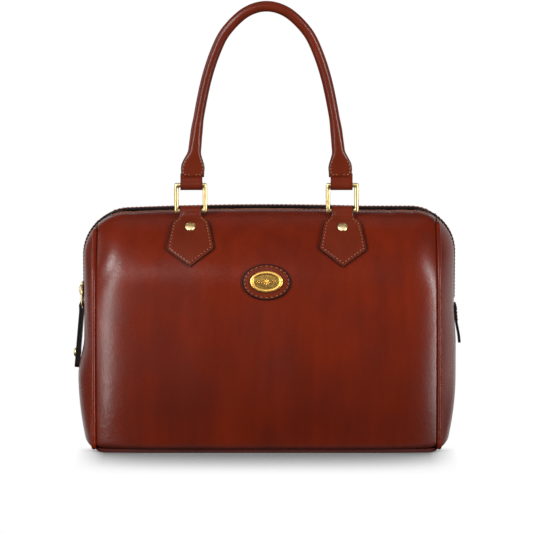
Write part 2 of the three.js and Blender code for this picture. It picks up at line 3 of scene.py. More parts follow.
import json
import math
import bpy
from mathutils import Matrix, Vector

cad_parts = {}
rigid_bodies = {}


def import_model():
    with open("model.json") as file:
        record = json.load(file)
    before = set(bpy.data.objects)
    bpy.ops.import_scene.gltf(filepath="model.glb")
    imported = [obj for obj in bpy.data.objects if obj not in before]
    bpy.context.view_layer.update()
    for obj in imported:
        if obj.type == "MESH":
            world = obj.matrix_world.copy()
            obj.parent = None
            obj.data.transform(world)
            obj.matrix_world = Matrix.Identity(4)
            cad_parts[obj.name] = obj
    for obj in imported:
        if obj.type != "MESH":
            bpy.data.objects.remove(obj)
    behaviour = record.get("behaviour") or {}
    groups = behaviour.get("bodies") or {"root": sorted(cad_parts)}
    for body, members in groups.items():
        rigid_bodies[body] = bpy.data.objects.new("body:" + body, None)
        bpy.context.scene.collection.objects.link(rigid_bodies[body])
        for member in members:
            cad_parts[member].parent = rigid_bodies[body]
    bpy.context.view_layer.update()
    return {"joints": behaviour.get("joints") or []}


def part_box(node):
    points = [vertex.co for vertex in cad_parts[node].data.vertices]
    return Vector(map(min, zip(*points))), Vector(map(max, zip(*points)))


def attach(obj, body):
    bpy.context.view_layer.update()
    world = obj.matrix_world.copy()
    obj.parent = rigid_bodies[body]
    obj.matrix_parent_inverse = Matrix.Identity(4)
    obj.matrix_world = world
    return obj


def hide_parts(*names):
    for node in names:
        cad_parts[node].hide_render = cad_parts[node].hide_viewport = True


bl_info = {
    "name": "Leather bowling bag",
    "version": (1, 0, 0),
    "blender": (4, 5, 0),
    "location": "View3D > Sidebar > Bag",
    "description": "Builds the leather, stitching, zip and metal fittings of a bowling bag",
    "category": "Add Mesh",
}

from typing import NamedTuple

import bmesh
import bpy
from bpy.props import FloatProperty, FloatVectorProperty, PointerProperty
from mathutils import Matrix, Vector, noise

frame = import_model()
PIVOTS = {joint["name"]: Vector(joint["pos_m"]) for joint in frame["joints"]}

SIDES = {"front": -1, "back": 1}
ENDS = {"left": -1, "right": 1}
X_AXIS = Vector((1, 0, 0))
Y_AXIS = Vector((0, 1, 0))
Z_AXIS = Vector((0, 0, 1))
MERGE = 1e-6


# Sizes and colours


def length(name, description, default):
    """A property that holds a length in metres."""
    return FloatProperty(
        name=name, description=description, default=default, min=0, unit="LENGTH", precision=5
    )


def turn(name, description, degrees):
    """A property that holds an angle."""
    return FloatProperty(name=name, description=description, default=math.radians(degrees), subtype="ANGLE")


def colour(name, description, red, green, blue):
    """A property that holds a colour, given as it looks on a screen, from 0 to 255."""
    linear = [((part / 255 + 0.055) / 1.055) ** 2.4 for part in (red, green, blue)]
    return FloatVectorProperty(name=name, description=description, default=linear, size=3, subtype="COLOR")


class BagBodySizes(bpy.types.PropertyGroup):
    """The shape of the leather body."""

    leather: length("Leather", "Thickness of the leather", 0.002)
    gap: length("Gap", "Air between pieces that lie on each other", 0.0003)
    seam_trim: length("Panel trim", "From the end seam to the panel's edge", 0.0028)
    gusset_trim: length("End trim", "From the end seam to the end panel's edge", 0.0012)
    panel_half: length("Panel half length", "Half of a panel's length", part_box("front_panel")[1].x)
    run_on: length("Run-on", "How far a panel runs on behind the piping", 0.0018)
    crest_z: length("Crest", "Height of the zip edge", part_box("front_panel")[1].z)
    crest_fall: length("Crest fall", "How far the crest drops towards its corners", 0.0026)
    crest_run: length("Crest run", "Where the crest has dropped by its fall", 0.1205)
    left_fall_to: length("Left fall end", "How far out the crest goes on dropping at the left", 0.1205)
    left_start: length("Left corner start", "Where the crest turns down at the left", 0.1205)
    left_radius: length("Left corner radius", "Radius of the crest's left corner", 0.040)
    left_bulge: length("Left bulge", "Level from which the left end swells out", 0.090)
    left_belly_x: length("Left belly", "Reach of the left end's belly", -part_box("left_gusset")[0].x)
    left_belly_z: length("Left belly height", "Level at which the left end swells most", 0.055)
    right_fall_to: length("Right fall end", "How far out the crest goes on dropping at the right", 0.084)
    right_start: length("Right corner start", "Where the crest turns down at the right", 0.127)
    right_radius: length("Right corner radius", "Radius of the crest's right corner", 0.038)
    right_bulge: length("Right bulge", "Level from which the right end swells out", 0.120)
    right_belly_x: length("Right belly", "Reach of the right end's belly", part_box("right_gusset")[1].x)
    right_belly_z: length("Right belly height", "Level at which the right end swells most", 0.080)
    base_z: length("Base seam", "Height of the panels' lower edge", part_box("front_panel")[0].z)
    base_top: length("Base thickness", "Thickness of the stiff base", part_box("base_panel")[1].z)
    tuck: length("Tuck", "How far the panels draw in at the end seams", 0.009)
    zip_gap: length("Zip half gap", "From the middle to a panel's zip edge", 0.0095)
    zip_end_z: length("Zip slot end", "Lowest level of the zip's slot in the end panels", 0.112)
    slump: length("Slump", "Height of the soft waves in the panels", 0.0016)
    edge_roll: length("Edge roll", "Radius at which a panel's edge rolls into its seam", 0.0022)
    piping: length("Piping", "Radius of the piping", 0.00215)


RING_MIDDLE = sum(corner.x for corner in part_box("front_right_ring")) / 2


class BagFittingSizes(bpy.types.PropertyGroup):
    """The chapes, rings, handles, badge and zip parts."""

    ring_x: length("Ring place", "From the middle to a ring's middle", RING_MIDDLE)
    ring_wire: length("Ring wire", "Radius of a ring's wire", 0.00195)
    ring_half: length("Ring half width", "From a ring's middle to its side wire", 0.0124)
    ring_corner: length("Ring corner", "Radius of a ring's corners", 0.0016)
    strap_half: length("Strap half width", "Half width of the straps round the rings", 0.0095)
    strap_radius: length("Strap bend", "Outer radius of a strap round a ring", 0.00425)
    front_chape: length("Front chape", "Distance down the front panel of the ring's bar", 0.0202)
    back_chape: length("Back chape", "Distance down the back panel of the ring's bar", 0.0378)
    chape_rivet: length("Chape rivet", "From the ring's bar down to the rivet", 0.018)
    rivet_radius: length("Rivet radius", "Radius of a chape's rivet", 0.0045)
    rivet_height: length("Rivet height", "Height of a rivet's dome", 0.0019)
    back_lean: turn("Back handle lean", "How far the back handle is turned down from upright", 158.5)
    badge_down: length("Badge place", "Distance down the front panel of the badge's middle", 0.089)
    patch_half_x: length("Patch half width", "Half width of the badge's leather", 0.021)
    patch_half_z: length("Patch half height", "Half height of the badge's leather", 0.0155)
    plate_half_x: length("Plate half width", "Half width of the badge's plate", 0.0142)
    plate_half_z: length("Plate half height", "Half height of the badge's plate", 0.0093)
    slider_z: length("Slider place", "Level of the zip slider's middle", 0.129)
    puller_length: length("Puller length", "Length of the hanging puller", 0.056)
    tape_half: length("Tape half width", "Half width of the zip's tape", 0.0125)
    tape_sink: length("Tape depth", "From the leather's edge down to the tape", 0.0032)
    end_sink: length("Tape depth at the ends", "Depth of the tape's raised middle", 0.0003)


class BagThreadSizes(bpy.types.PropertyGroup):
    """The stitching."""

    pitch: length("Pitch", "From one stitch to the next on the chapes and badge", 0.0032)
    zip_pitch: length("Zip pitch", "From one stitch to the next along the zip", 0.0039)
    radius: length("Thread", "Radius of the thread", 0.0005)
    hole: length("Needle hole", "Radius of a needle hole", 0.0005)
    inset: length("Inset", "From a piece's edge to its stitching", 0.0027)
    slant: turn("Slant", "How far a stitch is turned from its row", 14)


class BagColours(bpy.types.PropertyGroup):
    """The colours of the finishes."""

    leather: colour("Leather", "Body leather", 101, 28, 7)
    leather_shade: colour("Leather shade", "Darker clouds in the body leather", 87, 22, 5)
    trim: colour("Trim", "Leather of the handles, chapes and badge", 96, 33, 15)
    trim_shade: colour("Trim shade", "Darker clouds in the trim leather", 86, 27, 11)
    dark: colour("Dark leather", "Leather of the puller and end tab", 48, 24, 18)
    dark_shade: colour("Dark leather shade", "Darker clouds in the dark leather", 30, 14, 10)
    paint: colour("Edge paint", "Paint on cut edges", 17, 7, 5)
    thread: colour("Thread", "Stitching thread", 140, 76, 48)
    # The needle hole's colour is painted shade for the inside of the hole
    hole: colour("Needle hole", "Inside of a needle hole", 24, 9, 6)
    tape: colour("Zip tape", "Woven zip tape", 40, 17, 10)
    coil: colour("Zip coil", "Teeth of the zip", 46, 22, 14)
    gold: colour("Gold", "Polished fittings", 244, 218, 158)
    gold_shade: colour("Dark gold", "Dull places on the fittings", 214, 174, 98)
    plate: colour("Plate gold", "Rim of the badge's plate", 232, 180, 92)
    plate_field: colour("Plate field", "Matt field of the badge's plate", 132, 102, 50)


class BagStageSizes(bpy.types.PropertyGroup):
    """The camera and the floor."""

    distance: length("Camera distance", "From the camera to the point it looks at", 2.6)
    pitch: turn("Camera pitch", "How far the camera looks down", 9)
    target_z: length("Camera target", "Height of the point the camera looks at", 0.1494)
    lens: FloatProperty(name="Lens", description="Focal length", default=199.15, unit="CAMERA")
    floor: length("Floor", "Half width of the floor", 4.0)


# Shapes of the body


class Arc(NamedTuple):
    """An arc of a panel's section: its length, and its slope below level at both ends in degrees."""

    length: float
    start: float
    end: float


class Corner(NamedTuple):
    """One end: how far out the crest falls, where and how tightly it turns down, and its belly."""

    side: int
    fall_to: float
    start: float
    radius: float
    bulge: float
    belly_x: float
    belly_z: float


# A panel's section, from the zip down to its rolled-under edge
ZIP_BAND = Arc(0.0085, 0, 4)
CROWN = Arc(0.0308, 4, 46)
SHOULDER = Arc(0.0559, 46, 78)
ROLL_UNDER = Arc(0.0053, 89, 150)
WALL_SLOPE = (78, 89)
# How the panels draw in at the end seams, and the ends swell and draw in at the base
TUCK_POWER = 7
TUCK_DEPTHS = (0.012, 0.060)
FALL_FADE_Z = 0.090
SWELL_POWER = 2.5
BASE_TUCK = 0.0063
BASE_TUCK_Z = 0.054
# Where the seams and the base hold the soft leather, and the waves and creases in it
HOLD_POWER = 8
HOLD_BASE = (0.006, 0.040)
PANEL_WAVES = (15, 10, 3.7)
WAVES_FROM = (0.012, 0.060)
CREASE_LEAN = 0.12
# Steps along the zip's line
CORNER_STEPS = 24
CREST_STEPS = 40
# How the piping lies on the seam and over the floor, and the step that finds a slope
PIPING_PROUD = 0.0006
PIPING_LIFT = 0.0003
PROBE = 0.0004


class Crease(NamedTuple):
    """A shallow crease that runs down the front panel from the zip."""

    x: float
    reach: float
    width: float
    depth: float


class Dent(NamedTuple):
    """A soft hollow (or, with a negative depth, a swelling) in the front panel."""

    x: float
    down: float
    half_width: float
    half_height: float
    depth: float


CREASES = (
    Crease(0.107, 0.030, 0.0022, 0.0005),
    Crease(0.126, 0.038, 0.0026, 0.0007),
    Crease(-0.117, 0.034, 0.0026, 0.0005),
    Crease(-0.030, 0.018, 0.0024, 0.0003),
)
DENTS = (
    Dent(-0.095, 0.105, 0.045, 0.050, 0.0012),
    Dent(0.098, 0.120, 0.040, 0.060, 0.0014),
    Dent(0.010, 0.190, 0.080, 0.050, -0.0012),
    Dent(-0.060, 0.215, 0.035, 0.030, 0.0008),
)


def smooth_step(value, low, high):
    """0 below low, 1 above high, and a smooth rise between them."""
    part = min(1.0, max(0.0, (value - low) / (high - low)))
    return part * part * (3 - 2 * part)


def shares(count):
    """Even shares from 0 to 1, in a number of steps."""
    return [step / count for step in range(count + 1)]


def row_at(rows, share):
    """The row that lies a share of the way down a list."""
    return rows[round(share * (len(rows) - 1))]


def spread(u):
    """From -1 to 1 across a strip, with finer steps towards its edges."""
    return math.sin(math.pi * (u - 0.5))


def edge_way(u, half):
    """How far a place across a strip lies from the strip's nearer edge."""
    return half * (1 - abs(spread(u)))


def arc_step(arc, distance):
    """How far an arc has gone outwards and down after a distance along it."""
    start = math.radians(arc.start)
    turned = math.radians(arc.end - arc.start) * distance / arc.length
    if turned < MERGE:
        return distance * math.cos(start), distance * math.sin(start)
    radius = distance / turned
    out = radius * (math.sin(start + turned) - math.sin(start))
    down = radius * (math.cos(start) - math.cos(start + turned))
    return out, down


class BagBody:
    """The outer face of the bag's leather, from the same driving sizes as the solids."""

    def __init__(self, sizes):
        self.sizes = sizes
        self.seam_x = sizes.panel_half + sizes.seam_trim
        self.corners = {name: self.read_corner(side, name) for name, side in ENDS.items()}
        drop = sizes.crest_z - sizes.base_z
        fixed = sum(arc_step(arc, arc.length)[1] for arc in (ZIP_BAND, CROWN, SHOULDER, ROLL_UNDER))
        wall = Arc((drop - fixed) / arc_step(Arc(1, *WALL_SLOPE), 1)[1], *WALL_SLOPE)
        self.arcs = []
        start, depth, height = 0.0, sizes.zip_gap, sizes.crest_z
        for arc in (ZIP_BAND, CROWN, SHOULDER, wall, ROLL_UNDER):
            self.arcs.append((start, depth, height, arc))
            out, down = arc_step(arc, arc.length)
            start, depth, height = start + arc.length, depth + out, height - down
        self.length = start

    def read_corner(self, side, name):
        """The shape of one end, from the sizes that carry its name."""
        return Corner(side, *(getattr(self.sizes, f"{name}_{field}") for field in Corner._fields[1:]))

    def corner(self, x):
        """The crest's corner on that side."""
        return self.corners["right" if x > 0 else "left"]

    def section(self, distance):
        """Depth, height and slope of a panel's section after a distance from the zip edge."""
        distance = min(max(distance, 0.0), self.length)
        found = self.arcs[0]
        for entry in self.arcs[1:]:
            if distance < entry[0]:
                break
            found = entry
        start, depth, height, arc = found
        out, down = arc_step(arc, distance - start)
        slope = math.radians(arc.start + (arc.end - arc.start) * (distance - start) / arc.length)
        return depth + out, height - down, slope

    def crest_drop(self, x):
        """How far the crest lies below its middle."""
        corner = self.corner(x)
        past = min(max(0.0, abs(x) - corner.start), corner.radius)
        bow = self.sizes.crest_fall * (min(corner.fall_to, abs(x)) / self.sizes.crest_run) ** 2
        return bow + corner.radius - math.sqrt(corner.radius**2 - past**2)

    def corner_centre(self, corner):
        """The height of the middle of a top corner's arc."""
        return self.sizes.crest_z - self.crest_drop(corner.side * corner.start) - corner.radius

    def softness(self, x, distance, side):
        """How far the soft leather stands out of its plain section."""
        along = abs(x) / self.seam_x
        hold = max(0.0, 1 - along**HOLD_POWER) * smooth_step(self.length - distance, *HOLD_BASE)
        waves_along, waves_down, other_side = PANEL_WAVES
        spot = Vector((x * waves_along, distance * waves_down, side * other_side))
        rise = self.sizes.slump * noise.noise(spot) * smooth_step(distance, *WAVES_FROM)
        if side < 0:
            for dent in DENTS:
                across = (x - dent.x) / dent.half_width
                down = (distance - dent.down) / dent.half_height
                rise -= dent.depth * math.exp(-across * across - down * down)
            for crease in CREASES:
                across = (x - crease.x - CREASE_LEAN * distance) / crease.width
                fade = 1 - smooth_step(distance, 0.0, crease.reach)
                rise -= crease.depth * math.exp(-across * across) * fade
        return rise * hold

    def panel(self, x, distance, side, soft=True):
        """A point on the outer face of the front or back panel."""
        depth, height, slope = self.section(distance)
        drawn_in = self.sizes.tuck * (abs(x) / self.seam_x) ** TUCK_POWER * smooth_step(depth, *TUCK_DEPTHS)
        drop = self.crest_drop(x) * smooth_step(height, FALL_FADE_Z, self.sizes.crest_z)
        rise = self.softness(x, distance, side) if soft else 0.0
        y = depth - drawn_in + rise * math.sin(slope)
        z = height - drop + rise * math.cos(slope)
        return Vector((x, side * y, z))

    def on_panel(self, x, distance, side, lift=0.0):
        """A point above the panel, with the panel's normal and its downward direction there."""
        across = self.panel(x + PROBE, distance, side) - self.panel(x - PROBE, distance, side)
        down = self.panel(x, distance + PROBE, side) - self.panel(x, distance - PROBE, side)
        normal = (across.cross(down) * side).normalized()
        return self.panel(x, distance, side) + normal * lift, normal, down.normalized()

    def end_reach(self, corner, z):
        """How far the middle of an end panel stands out at a level."""
        centre = self.corner_centre(corner)
        if z >= centre:
            return corner.start + math.sqrt(max(0.0, corner.radius**2 - (z - centre) ** 2))
        upright = corner.start + corner.radius
        swollen = smooth_step(corner.bulge - z, 0.0, corner.bulge - corner.belly_z)
        drawn_in = BASE_TUCK * max(0.0, 1 - z / BASE_TUCK_Z) ** 2
        return upright + (corner.belly_x - upright) * swollen - drawn_in

    def end_face(self, corner, across, z):
        """How far an end panel stands out, across from -1 at the front seam to 1 at the back."""
        swell = (self.end_reach(corner, z) - self.seam_x) * (1 - min(1.0, abs(across)) ** SWELL_POWER)
        return corner.side * (self.seam_x + swell)

    def seam(self, corner, distance, side, offset):
        """A point beside the end seam, offset along the section's outward normal there."""
        x = corner.side * self.seam_x
        before, point, after = (
            self.panel(x, distance + step, side, soft=False) for step in (-PROBE, 0.0, PROBE)
        )
        along = after - before
        normal = Vector((0, -along.z * side, along.y * side)).normalized()
        return point + normal * offset

    def zip_line(self, end_z):
        """Points of the zip's middle line, from the left end over the crest to the right end."""
        halves = {}
        for name, corner in self.corners.items():
            centre = self.corner_centre(corner)
            half = []
            for share in shares(CORNER_STEPS):
                z = end_z + (centre - end_z) * share
                half.append(Vector((corner.side * self.end_reach(corner, z), 0, z)))
            for share in shares(CORNER_STEPS)[1:]:
                angle = math.pi / 2 * share
                x = corner.side * (corner.start + corner.radius * math.cos(angle))
                half.append(Vector((x, 0, centre + corner.radius * math.sin(angle))))
            for share in shares(CREST_STEPS)[1:]:
                x = corner.side * corner.start * (1 - share)
                half.append(Vector((x, 0, self.sizes.crest_z - self.crest_drop(x))))
            halves[name] = half
        return halves["left"] + halves["right"][-2::-1]


# Mesh helpers

# What is left of a tube's section at its end and in the rings that close it
CAP_SHARES = (1.0, 0.86, 0.0)
CAP_RINGS = len(CAP_SHARES) - 1
# A stitch as shares of its pitch and thread, and its needle holes
STITCH_SHARE = 0.37
STITCH_PROUD = 0.35
HOLE_REACH = 1.08
HOLE_DEPTH = 0.3


def bent_sheet(columns, rows, place, edge=None, paint=None):
    """A grid bent to shape. From u and v between 0 and 1, place gives each point, edge says how far it is
    darkened, by wear and on some pieces by painted shade, and paint gives a face's material."""
    mesh = bmesh.new()
    mesh.loops.layers.uv.new("UVMap")
    bmesh.ops.create_grid(mesh, x_segments=columns, y_segments=rows, size=0.5, calc_uvs=True)
    if paint:
        for face in mesh.faces:
            middle = face.calc_center_median()
            face.material_index = paint(middle.x + 0.5, middle.y + 0.5)
    # The edge layer holds each point's darkening: wear, and on the panels and base a painted shade
    wear = mesh.verts.layers.float.new("edge")
    for vertex in mesh.verts:
        u, v = vertex.co.x + 0.5, vertex.co.y + 0.5
        if edge:
            vertex[wear] = edge(u, v)
        vertex.co = place(u, v)
    return mesh


def close_mesh(mesh):
    """Joins the points that meet, and turns the faces outwards."""
    bmesh.ops.remove_doubles(mesh, verts=mesh.verts, dist=MERGE)
    bmesh.ops.recalc_face_normals(mesh, faces=mesh.faces)
    return mesh


def face_along(mesh, outwards, count=None):
    """Turns an open sheet over if its faces, or a count of its first ones, point against a direction."""
    mesh.faces.ensure_lookup_table()
    mesh.normal_update()
    if sum(face.normal.dot(outwards) for face in mesh.faces[:count]) < 0:
        bmesh.ops.reverse_faces(mesh, faces=mesh.faces)
    return mesh


def even_steps(points, spacing):
    """Evenly spaced places along a line of points, each with its direction."""
    lengths = [0.0]
    for first, second in zip(points, points[1:]):
        lengths.append(lengths[-1] + (second - first).length)
    count = max(1, round(lengths[-1] / spacing))
    places = []
    part = 0
    for step in range(count + 1):
        wanted = lengths[-1] * step / count
        while part < len(points) - 2 and lengths[part + 1] < wanted:
            part += 1
        along = points[part + 1] - points[part]
        share = (wanted - lengths[part]) / max(MERGE, lengths[part + 1] - lengths[part])
        places.append((points[part] + along * share, along.normalized()))
    return places


def smooth_line(points, steps):
    """A line that runs smoothly through the points, with some steps between each two."""
    line = []
    ends = [points[0] * 2 - points[1], *points, points[-1] * 2 - points[-2]]
    for a, b, c, d in zip(ends, ends[1:], ends[2:], ends[3:]):
        for step in range(steps):
            t = step / steps
            bend = (a * -1 + b * 3 - c * 3 + d) * t**3 + (a * 2 - b * 5 + c * 4 - d) * t**2
            line.append((bend + (c - a) * t + b * 2) / 2)
    return line + [points[-1]]


def round_power(value, power):
    """A sine or cosine pulled towards a square, for a section with flat sides."""
    return math.copysign(abs(value) ** (2 / power), value)


def swept_tube(points, sides, section, across, closed=False, paint=None):
    """A tube along a line. section gives, from a place's number, its half sizes along across and square to
    it, and how square it is. Two more rings close each end of an open tube."""
    last = len(points) - 1
    beyond = 0 if closed else CAP_RINGS
    rings = []
    for number in range(-beyond, last + beyond + 1):
        near = min(max(number, 0), last)
        if closed:
            along = points[(near + 1) % len(points)] - points[near - 1]
        else:
            along = points[min(near + 1, last)] - points[max(near - 1, 0)]
        wide, deep, square = section(near)
        left = CAP_SHARES[max(-number, number - last, 0)]
        rings.append((points[near], along.cross(across).normalized(), (wide * left, deep * left, square)))
    if closed:
        rings.append(rings[0])

    def place(u, v):
        point, through, (wide, deep, square) = row_at(rings, v)
        angle = 2 * math.pi * u
        out = across * (wide * round_power(math.cos(angle), square))
        return point + out + through * (deep * round_power(math.sin(angle), square))

    return close_mesh(bent_sheet(sides, len(rings) - 1, place, paint=paint))


def turned_shape(profile, steps, place, paint=None):
    """A profile of (radius, height) spun about Z, each point then moved by place. From a face's radius and
    height, paint gives its material."""
    mesh = bmesh.new()
    points = [mesh.verts.new((radius, 0, height)) for radius, height in profile]
    edges = [mesh.edges.new(pair) for pair in zip(points, points[1:])]
    middle = Vector((0, 0, 0))
    bmesh.ops.spin(
        mesh, geom=points + edges, cent=middle, axis=Z_AXIS, angle=2 * math.pi, steps=steps, use_merge=True
    )
    close_mesh(mesh)
    if paint:
        for face in mesh.faces:
            middle = face.calc_center_median()
            face.material_index = paint(math.hypot(middle.x, middle.y), middle.z)
    for vertex in mesh.verts:
        vertex.co = place(vertex.co)
    return mesh


def axes_matrix(x_axis, y_axis, z_axis, origin):
    """A matrix with these axes and origin."""
    matrix = Matrix((x_axis, y_axis, z_axis)).transposed().to_4x4()
    matrix.translation = origin
    return matrix


def add_bead(mesh, matrix, material=0, around=8, along=5):
    """Adds a ball, stretched and placed by the matrix."""
    made = bmesh.ops.create_uvsphere(mesh, u_segments=around, v_segments=along, radius=1, matrix=matrix)
    for vertex in made["verts"]:
        for face in vertex.link_faces:
            face.material_index = material


def sew(mesh, places, thread, pitch):
    """Adds a slanted stitch at each (point, along, normal), with painted shade at both needle holes."""
    half = pitch * STITCH_SHARE
    thick = thread.radius
    for point, along, normal in places:
        row = (along - normal * along.dot(normal)).normalized()
        stitch = Matrix.Rotation(thread.slant, 3, normal) @ row
        beside = normal.cross(stitch)
        middle = point + normal * thick * STITCH_PROUD
        add_bead(mesh, axes_matrix(beside * thick, normal * thick, stitch * half, middle))
        for end in (-1, 1):
            hole = point + stitch * (end * half * HOLE_REACH)
            deep = normal * thread.hole * HOLE_DEPTH
            add_bead(mesh, axes_matrix(stitch * thread.hole, beside * thread.hole, deep, hole), 1, 6, 4)


def add_piece(name, mesh, body, slot, *finishes, node=None):
    """Makes a mesh a smooth piece that rides on a body, with its finishes. The slot is not used. It may hide
    the node of the frame whose place it takes."""
    data = bpy.data.meshes.new(name)
    mesh.to_mesh(data)
    mesh.free()
    data.shade_smooth()
    for kind in finishes:
        data.materials.append(finish(kind))
    piece = bpy.data.objects.new(name, data)
    bpy.context.scene.collection.objects.link(piece)
    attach(piece, body)
    if node:
        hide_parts(node)
    return piece


def add_stitches(name, places, pitch, body, slot):
    """Sews a row of stitches as a piece of its own."""
    mesh = bmesh.new()
    sew(mesh, places, bpy.context.scene.bag_thread, pitch)
    add_piece(name, mesh, body, slot, "thread", "needle_hole_shade")


def add_sheet(name, mesh, body, slot, *finishes, node, wall, rounding):
    """Adds a sheet as a piece, gives it its thickness, inwards, and rounds its cut edges. A second finish
    paints those edges."""
    piece = add_piece(name, mesh, body, slot, *finishes, node=node)
    painted = len(finishes) > 1
    solid = piece.modifiers.new("Thickness", "SOLIDIFY")
    solid.thickness = wall
    solid.offset = -1
    solid.use_even_offset = True
    solid.use_quality_normals = True
    solid.material_offset_rim = 1 if painted else 0
    soften = piece.modifiers.new("Rounded edges", "BEVEL")
    soften.width = rounding
    soften.segments = 3
    soften.profile = 0.5
    soften.limit_method = "ANGLE"
    soften.angle_limit = math.radians(50)
    soften.material = 1 if painted else -1


# Finishes

SURFACE_SOCKETS = (("Roughness", "NodeSocketFloat"), ("Height", "NodeSocketFloat"))


def add_node(tree, kind, inputs=None, **settings):
    """Adds a node with its settings, and links or sets its inputs."""
    node = tree.nodes.new(kind)
    for name, value in settings.items():
        setattr(node, name, value)
    for key, value in (inputs or {}).items():
        if isinstance(value, bpy.types.NodeSocket):
            tree.links.new(value, node.inputs[key])
        else:
            node.inputs[key].default_value = value
    return node


def opaque(values):
    """A colour property as a socket's value."""
    return (*values, 1.0)


def mix_colour(tree, factor, first, second, blend="MIX"):
    """Mixes two colours."""
    inputs = {0: factor, 6: first, 7: second}
    return add_node(tree, "ShaderNodeMix", inputs, data_type="RGBA", blend_type=blend).outputs[2]


def calculate(tree, operation, first, second):
    """One sum of two values."""
    return add_node(tree, "ShaderNodeMath", {0: first, 1: second}, operation=operation).outputs[0]


def weighed(tree, start, *terms):
    """A value to which others are added, each times its weight."""
    for value, weight in terms:
        start = calculate(tree, "ADD", start, calculate(tree, "MULTIPLY", value, weight))
    return start


def map_range(tree, value, old, new):
    """Moves a value from one range to another, and keeps it inside."""
    inputs = {"Value": value, "From Min": old[0], "From Max": old[1], "To Min": new[0], "To Max": new[1]}
    return add_node(tree, "ShaderNodeMapRange", inputs).outputs["Result"]


def noise_value(tree, vector, scale, detail=2.0):
    """Soft noise on a vector."""
    inputs = {"Vector": vector, "Scale": scale, "Detail": detail}
    return add_node(tree, "ShaderNodeTexNoise", inputs).outputs["Fac"]


def stretched(tree, vector, scale):
    """A vector stretched along its axes."""
    return add_node(tree, "ShaderNodeMapping", {"Vector": vector, "Scale": scale}).outputs["Vector"]


def new_group(name, inputs, outputs):
    """A shader node group with named sockets, and its two end nodes."""
    group = bpy.data.node_groups.new(name, "ShaderNodeTree")
    for socket, kind in inputs:
        group.interface.new_socket(socket, in_out="INPUT", socket_type=kind)
    for socket, kind in outputs:
        group.interface.new_socket(socket, in_out="OUTPUT", socket_type=kind)
    return group, group.nodes.new("NodeGroupInput").outputs, group.nodes.new("NodeGroupOutput").inputs


def leather_grain():
    """The group that clouds, streaks and grains a leather, and darkens it for wear and painted shade."""
    found = bpy.data.node_groups.get("Leather grain")
    if found:
        return found
    inputs = [("Colour", "NodeSocketColor"), ("Shade", "NodeSocketColor"), ("Grain", "NodeSocketFloat")]
    tree, given, made = new_group("Leather grain", inputs, [("Colour", "NodeSocketColor"), *SURFACE_SOCKETS])
    place = add_node(tree, "ShaderNodeTexCoord").outputs["Object"]
    clouds = noise_value(tree, place, scale=19.0, detail=5.0)
    streaks = noise_value(tree, stretched(tree, place, (1, 1, 0.09)), scale=85.0, detail=3.0)
    peel = noise_value(tree, place, scale=310.0, detail=2.0)
    wrinkles = noise_value(tree, place, scale=70.0, detail=3.0)
    cells = add_node(tree, "ShaderNodeTexVoronoi", {"Vector": place, "Scale": given["Grain"]})
    pebbles = cells.outputs["Distance"]
    pores = noise_value(tree, place, calculate(tree, "MULTIPLY", given["Grain"], 2.3), detail=1.0)
    cloudy = map_range(tree, clouds, (0.34, 0.68), (0.0, 1.0))
    shade = mix_colour(tree, cloudy, given["Colour"], given["Shade"])
    tone = map_range(tree, streaks, (0.3, 0.7), (0.86, 1.1))
    tinted = mix_colour(tree, 1.0, shade, tone, "MULTIPLY")
    pitted = mix_colour(tree, map_range(tree, pebbles, (0.35, 0.8), (0.0, 0.35)), tinted, given["Shade"])
    # Darker from the edge attribute: wear at seams and edges, and on the panels and base a painted shade
    edge = add_node(tree, "ShaderNodeAttribute", attribute_name="edge").outputs["Fac"]
    dark = mix_colour(tree, 1.0, given["Shade"], (0.3, 0.26, 0.26, 1.0), "MULTIPLY")
    wear_and_shade = calculate(tree, "MULTIPLY", edge, map_range(tree, clouds, (0.3, 0.7), (0.7, 1.0)))
    tree.links.new(mix_colour(tree, wear_and_shade, pitted, dark), made["Colour"])
    gloss = weighed(tree, map_range(tree, clouds, (0.3, 0.7), (0.2, 0.29)), (pebbles, 0.08))
    dulled = map_range(tree, edge, (0.45, 0.75), (0.0, 0.4))
    tree.links.new(calculate(tree, "ADD", gloss, dulled), made["Roughness"])
    height = calculate(tree, "MULTIPLY", peel, 1.3)
    height = weighed(tree, height, (pores, 0.2), (pebbles, -0.45), (wrinkles, 4.0), (streaks, 0.5))
    tree.links.new(height, made["Height"])
    return tree


def metal_wear():
    """The group that dulls and scratches a metal."""
    found = bpy.data.node_groups.get("Metal wear")
    if found:
        return found
    outputs = [("Dullness", "NodeSocketFloat"), *SURFACE_SOCKETS]
    tree, given, made = new_group("Metal wear", [("Scale", "NodeSocketFloat")], outputs)
    place = add_node(tree, "ShaderNodeTexCoord").outputs["Object"]
    tarnish = noise_value(tree, place, given["Scale"], detail=4.0)
    finer = calculate(tree, "MULTIPLY", given["Scale"], 9.0)
    scratches = noise_value(tree, stretched(tree, place, (0.12, 1, 1)), finer)
    tree.links.new(map_range(tree, tarnish, (0.45, 0.8), (0.0, 0.5)), made["Dullness"])
    tree.links.new(map_range(tree, tarnish, (0.3, 0.7), (0.28, 0.38)), made["Roughness"])
    tree.links.new(scratches, made["Height"])
    return tree


def new_material(name):
    """A material with a bare Principled shader, and its tree."""
    material = bpy.data.materials.new(name)
    material.use_nodes = True
    shader = material.node_tree.nodes["Principled BSDF"]
    return material, material.node_tree, shader


def add_bump(tree, shader, height, distance, strength):
    """Bumps a shader's normal by a height."""
    bump = add_node(tree, "ShaderNodeBump", {"Height": height, "Distance": distance, "Strength": strength})
    tree.links.new(bump.outputs["Normal"], shader.inputs["Normal"])


def place_group(tree, group, values):
    """Places a node group in a material."""
    return add_node(tree, "ShaderNodeGroup", values, node_tree=group).outputs


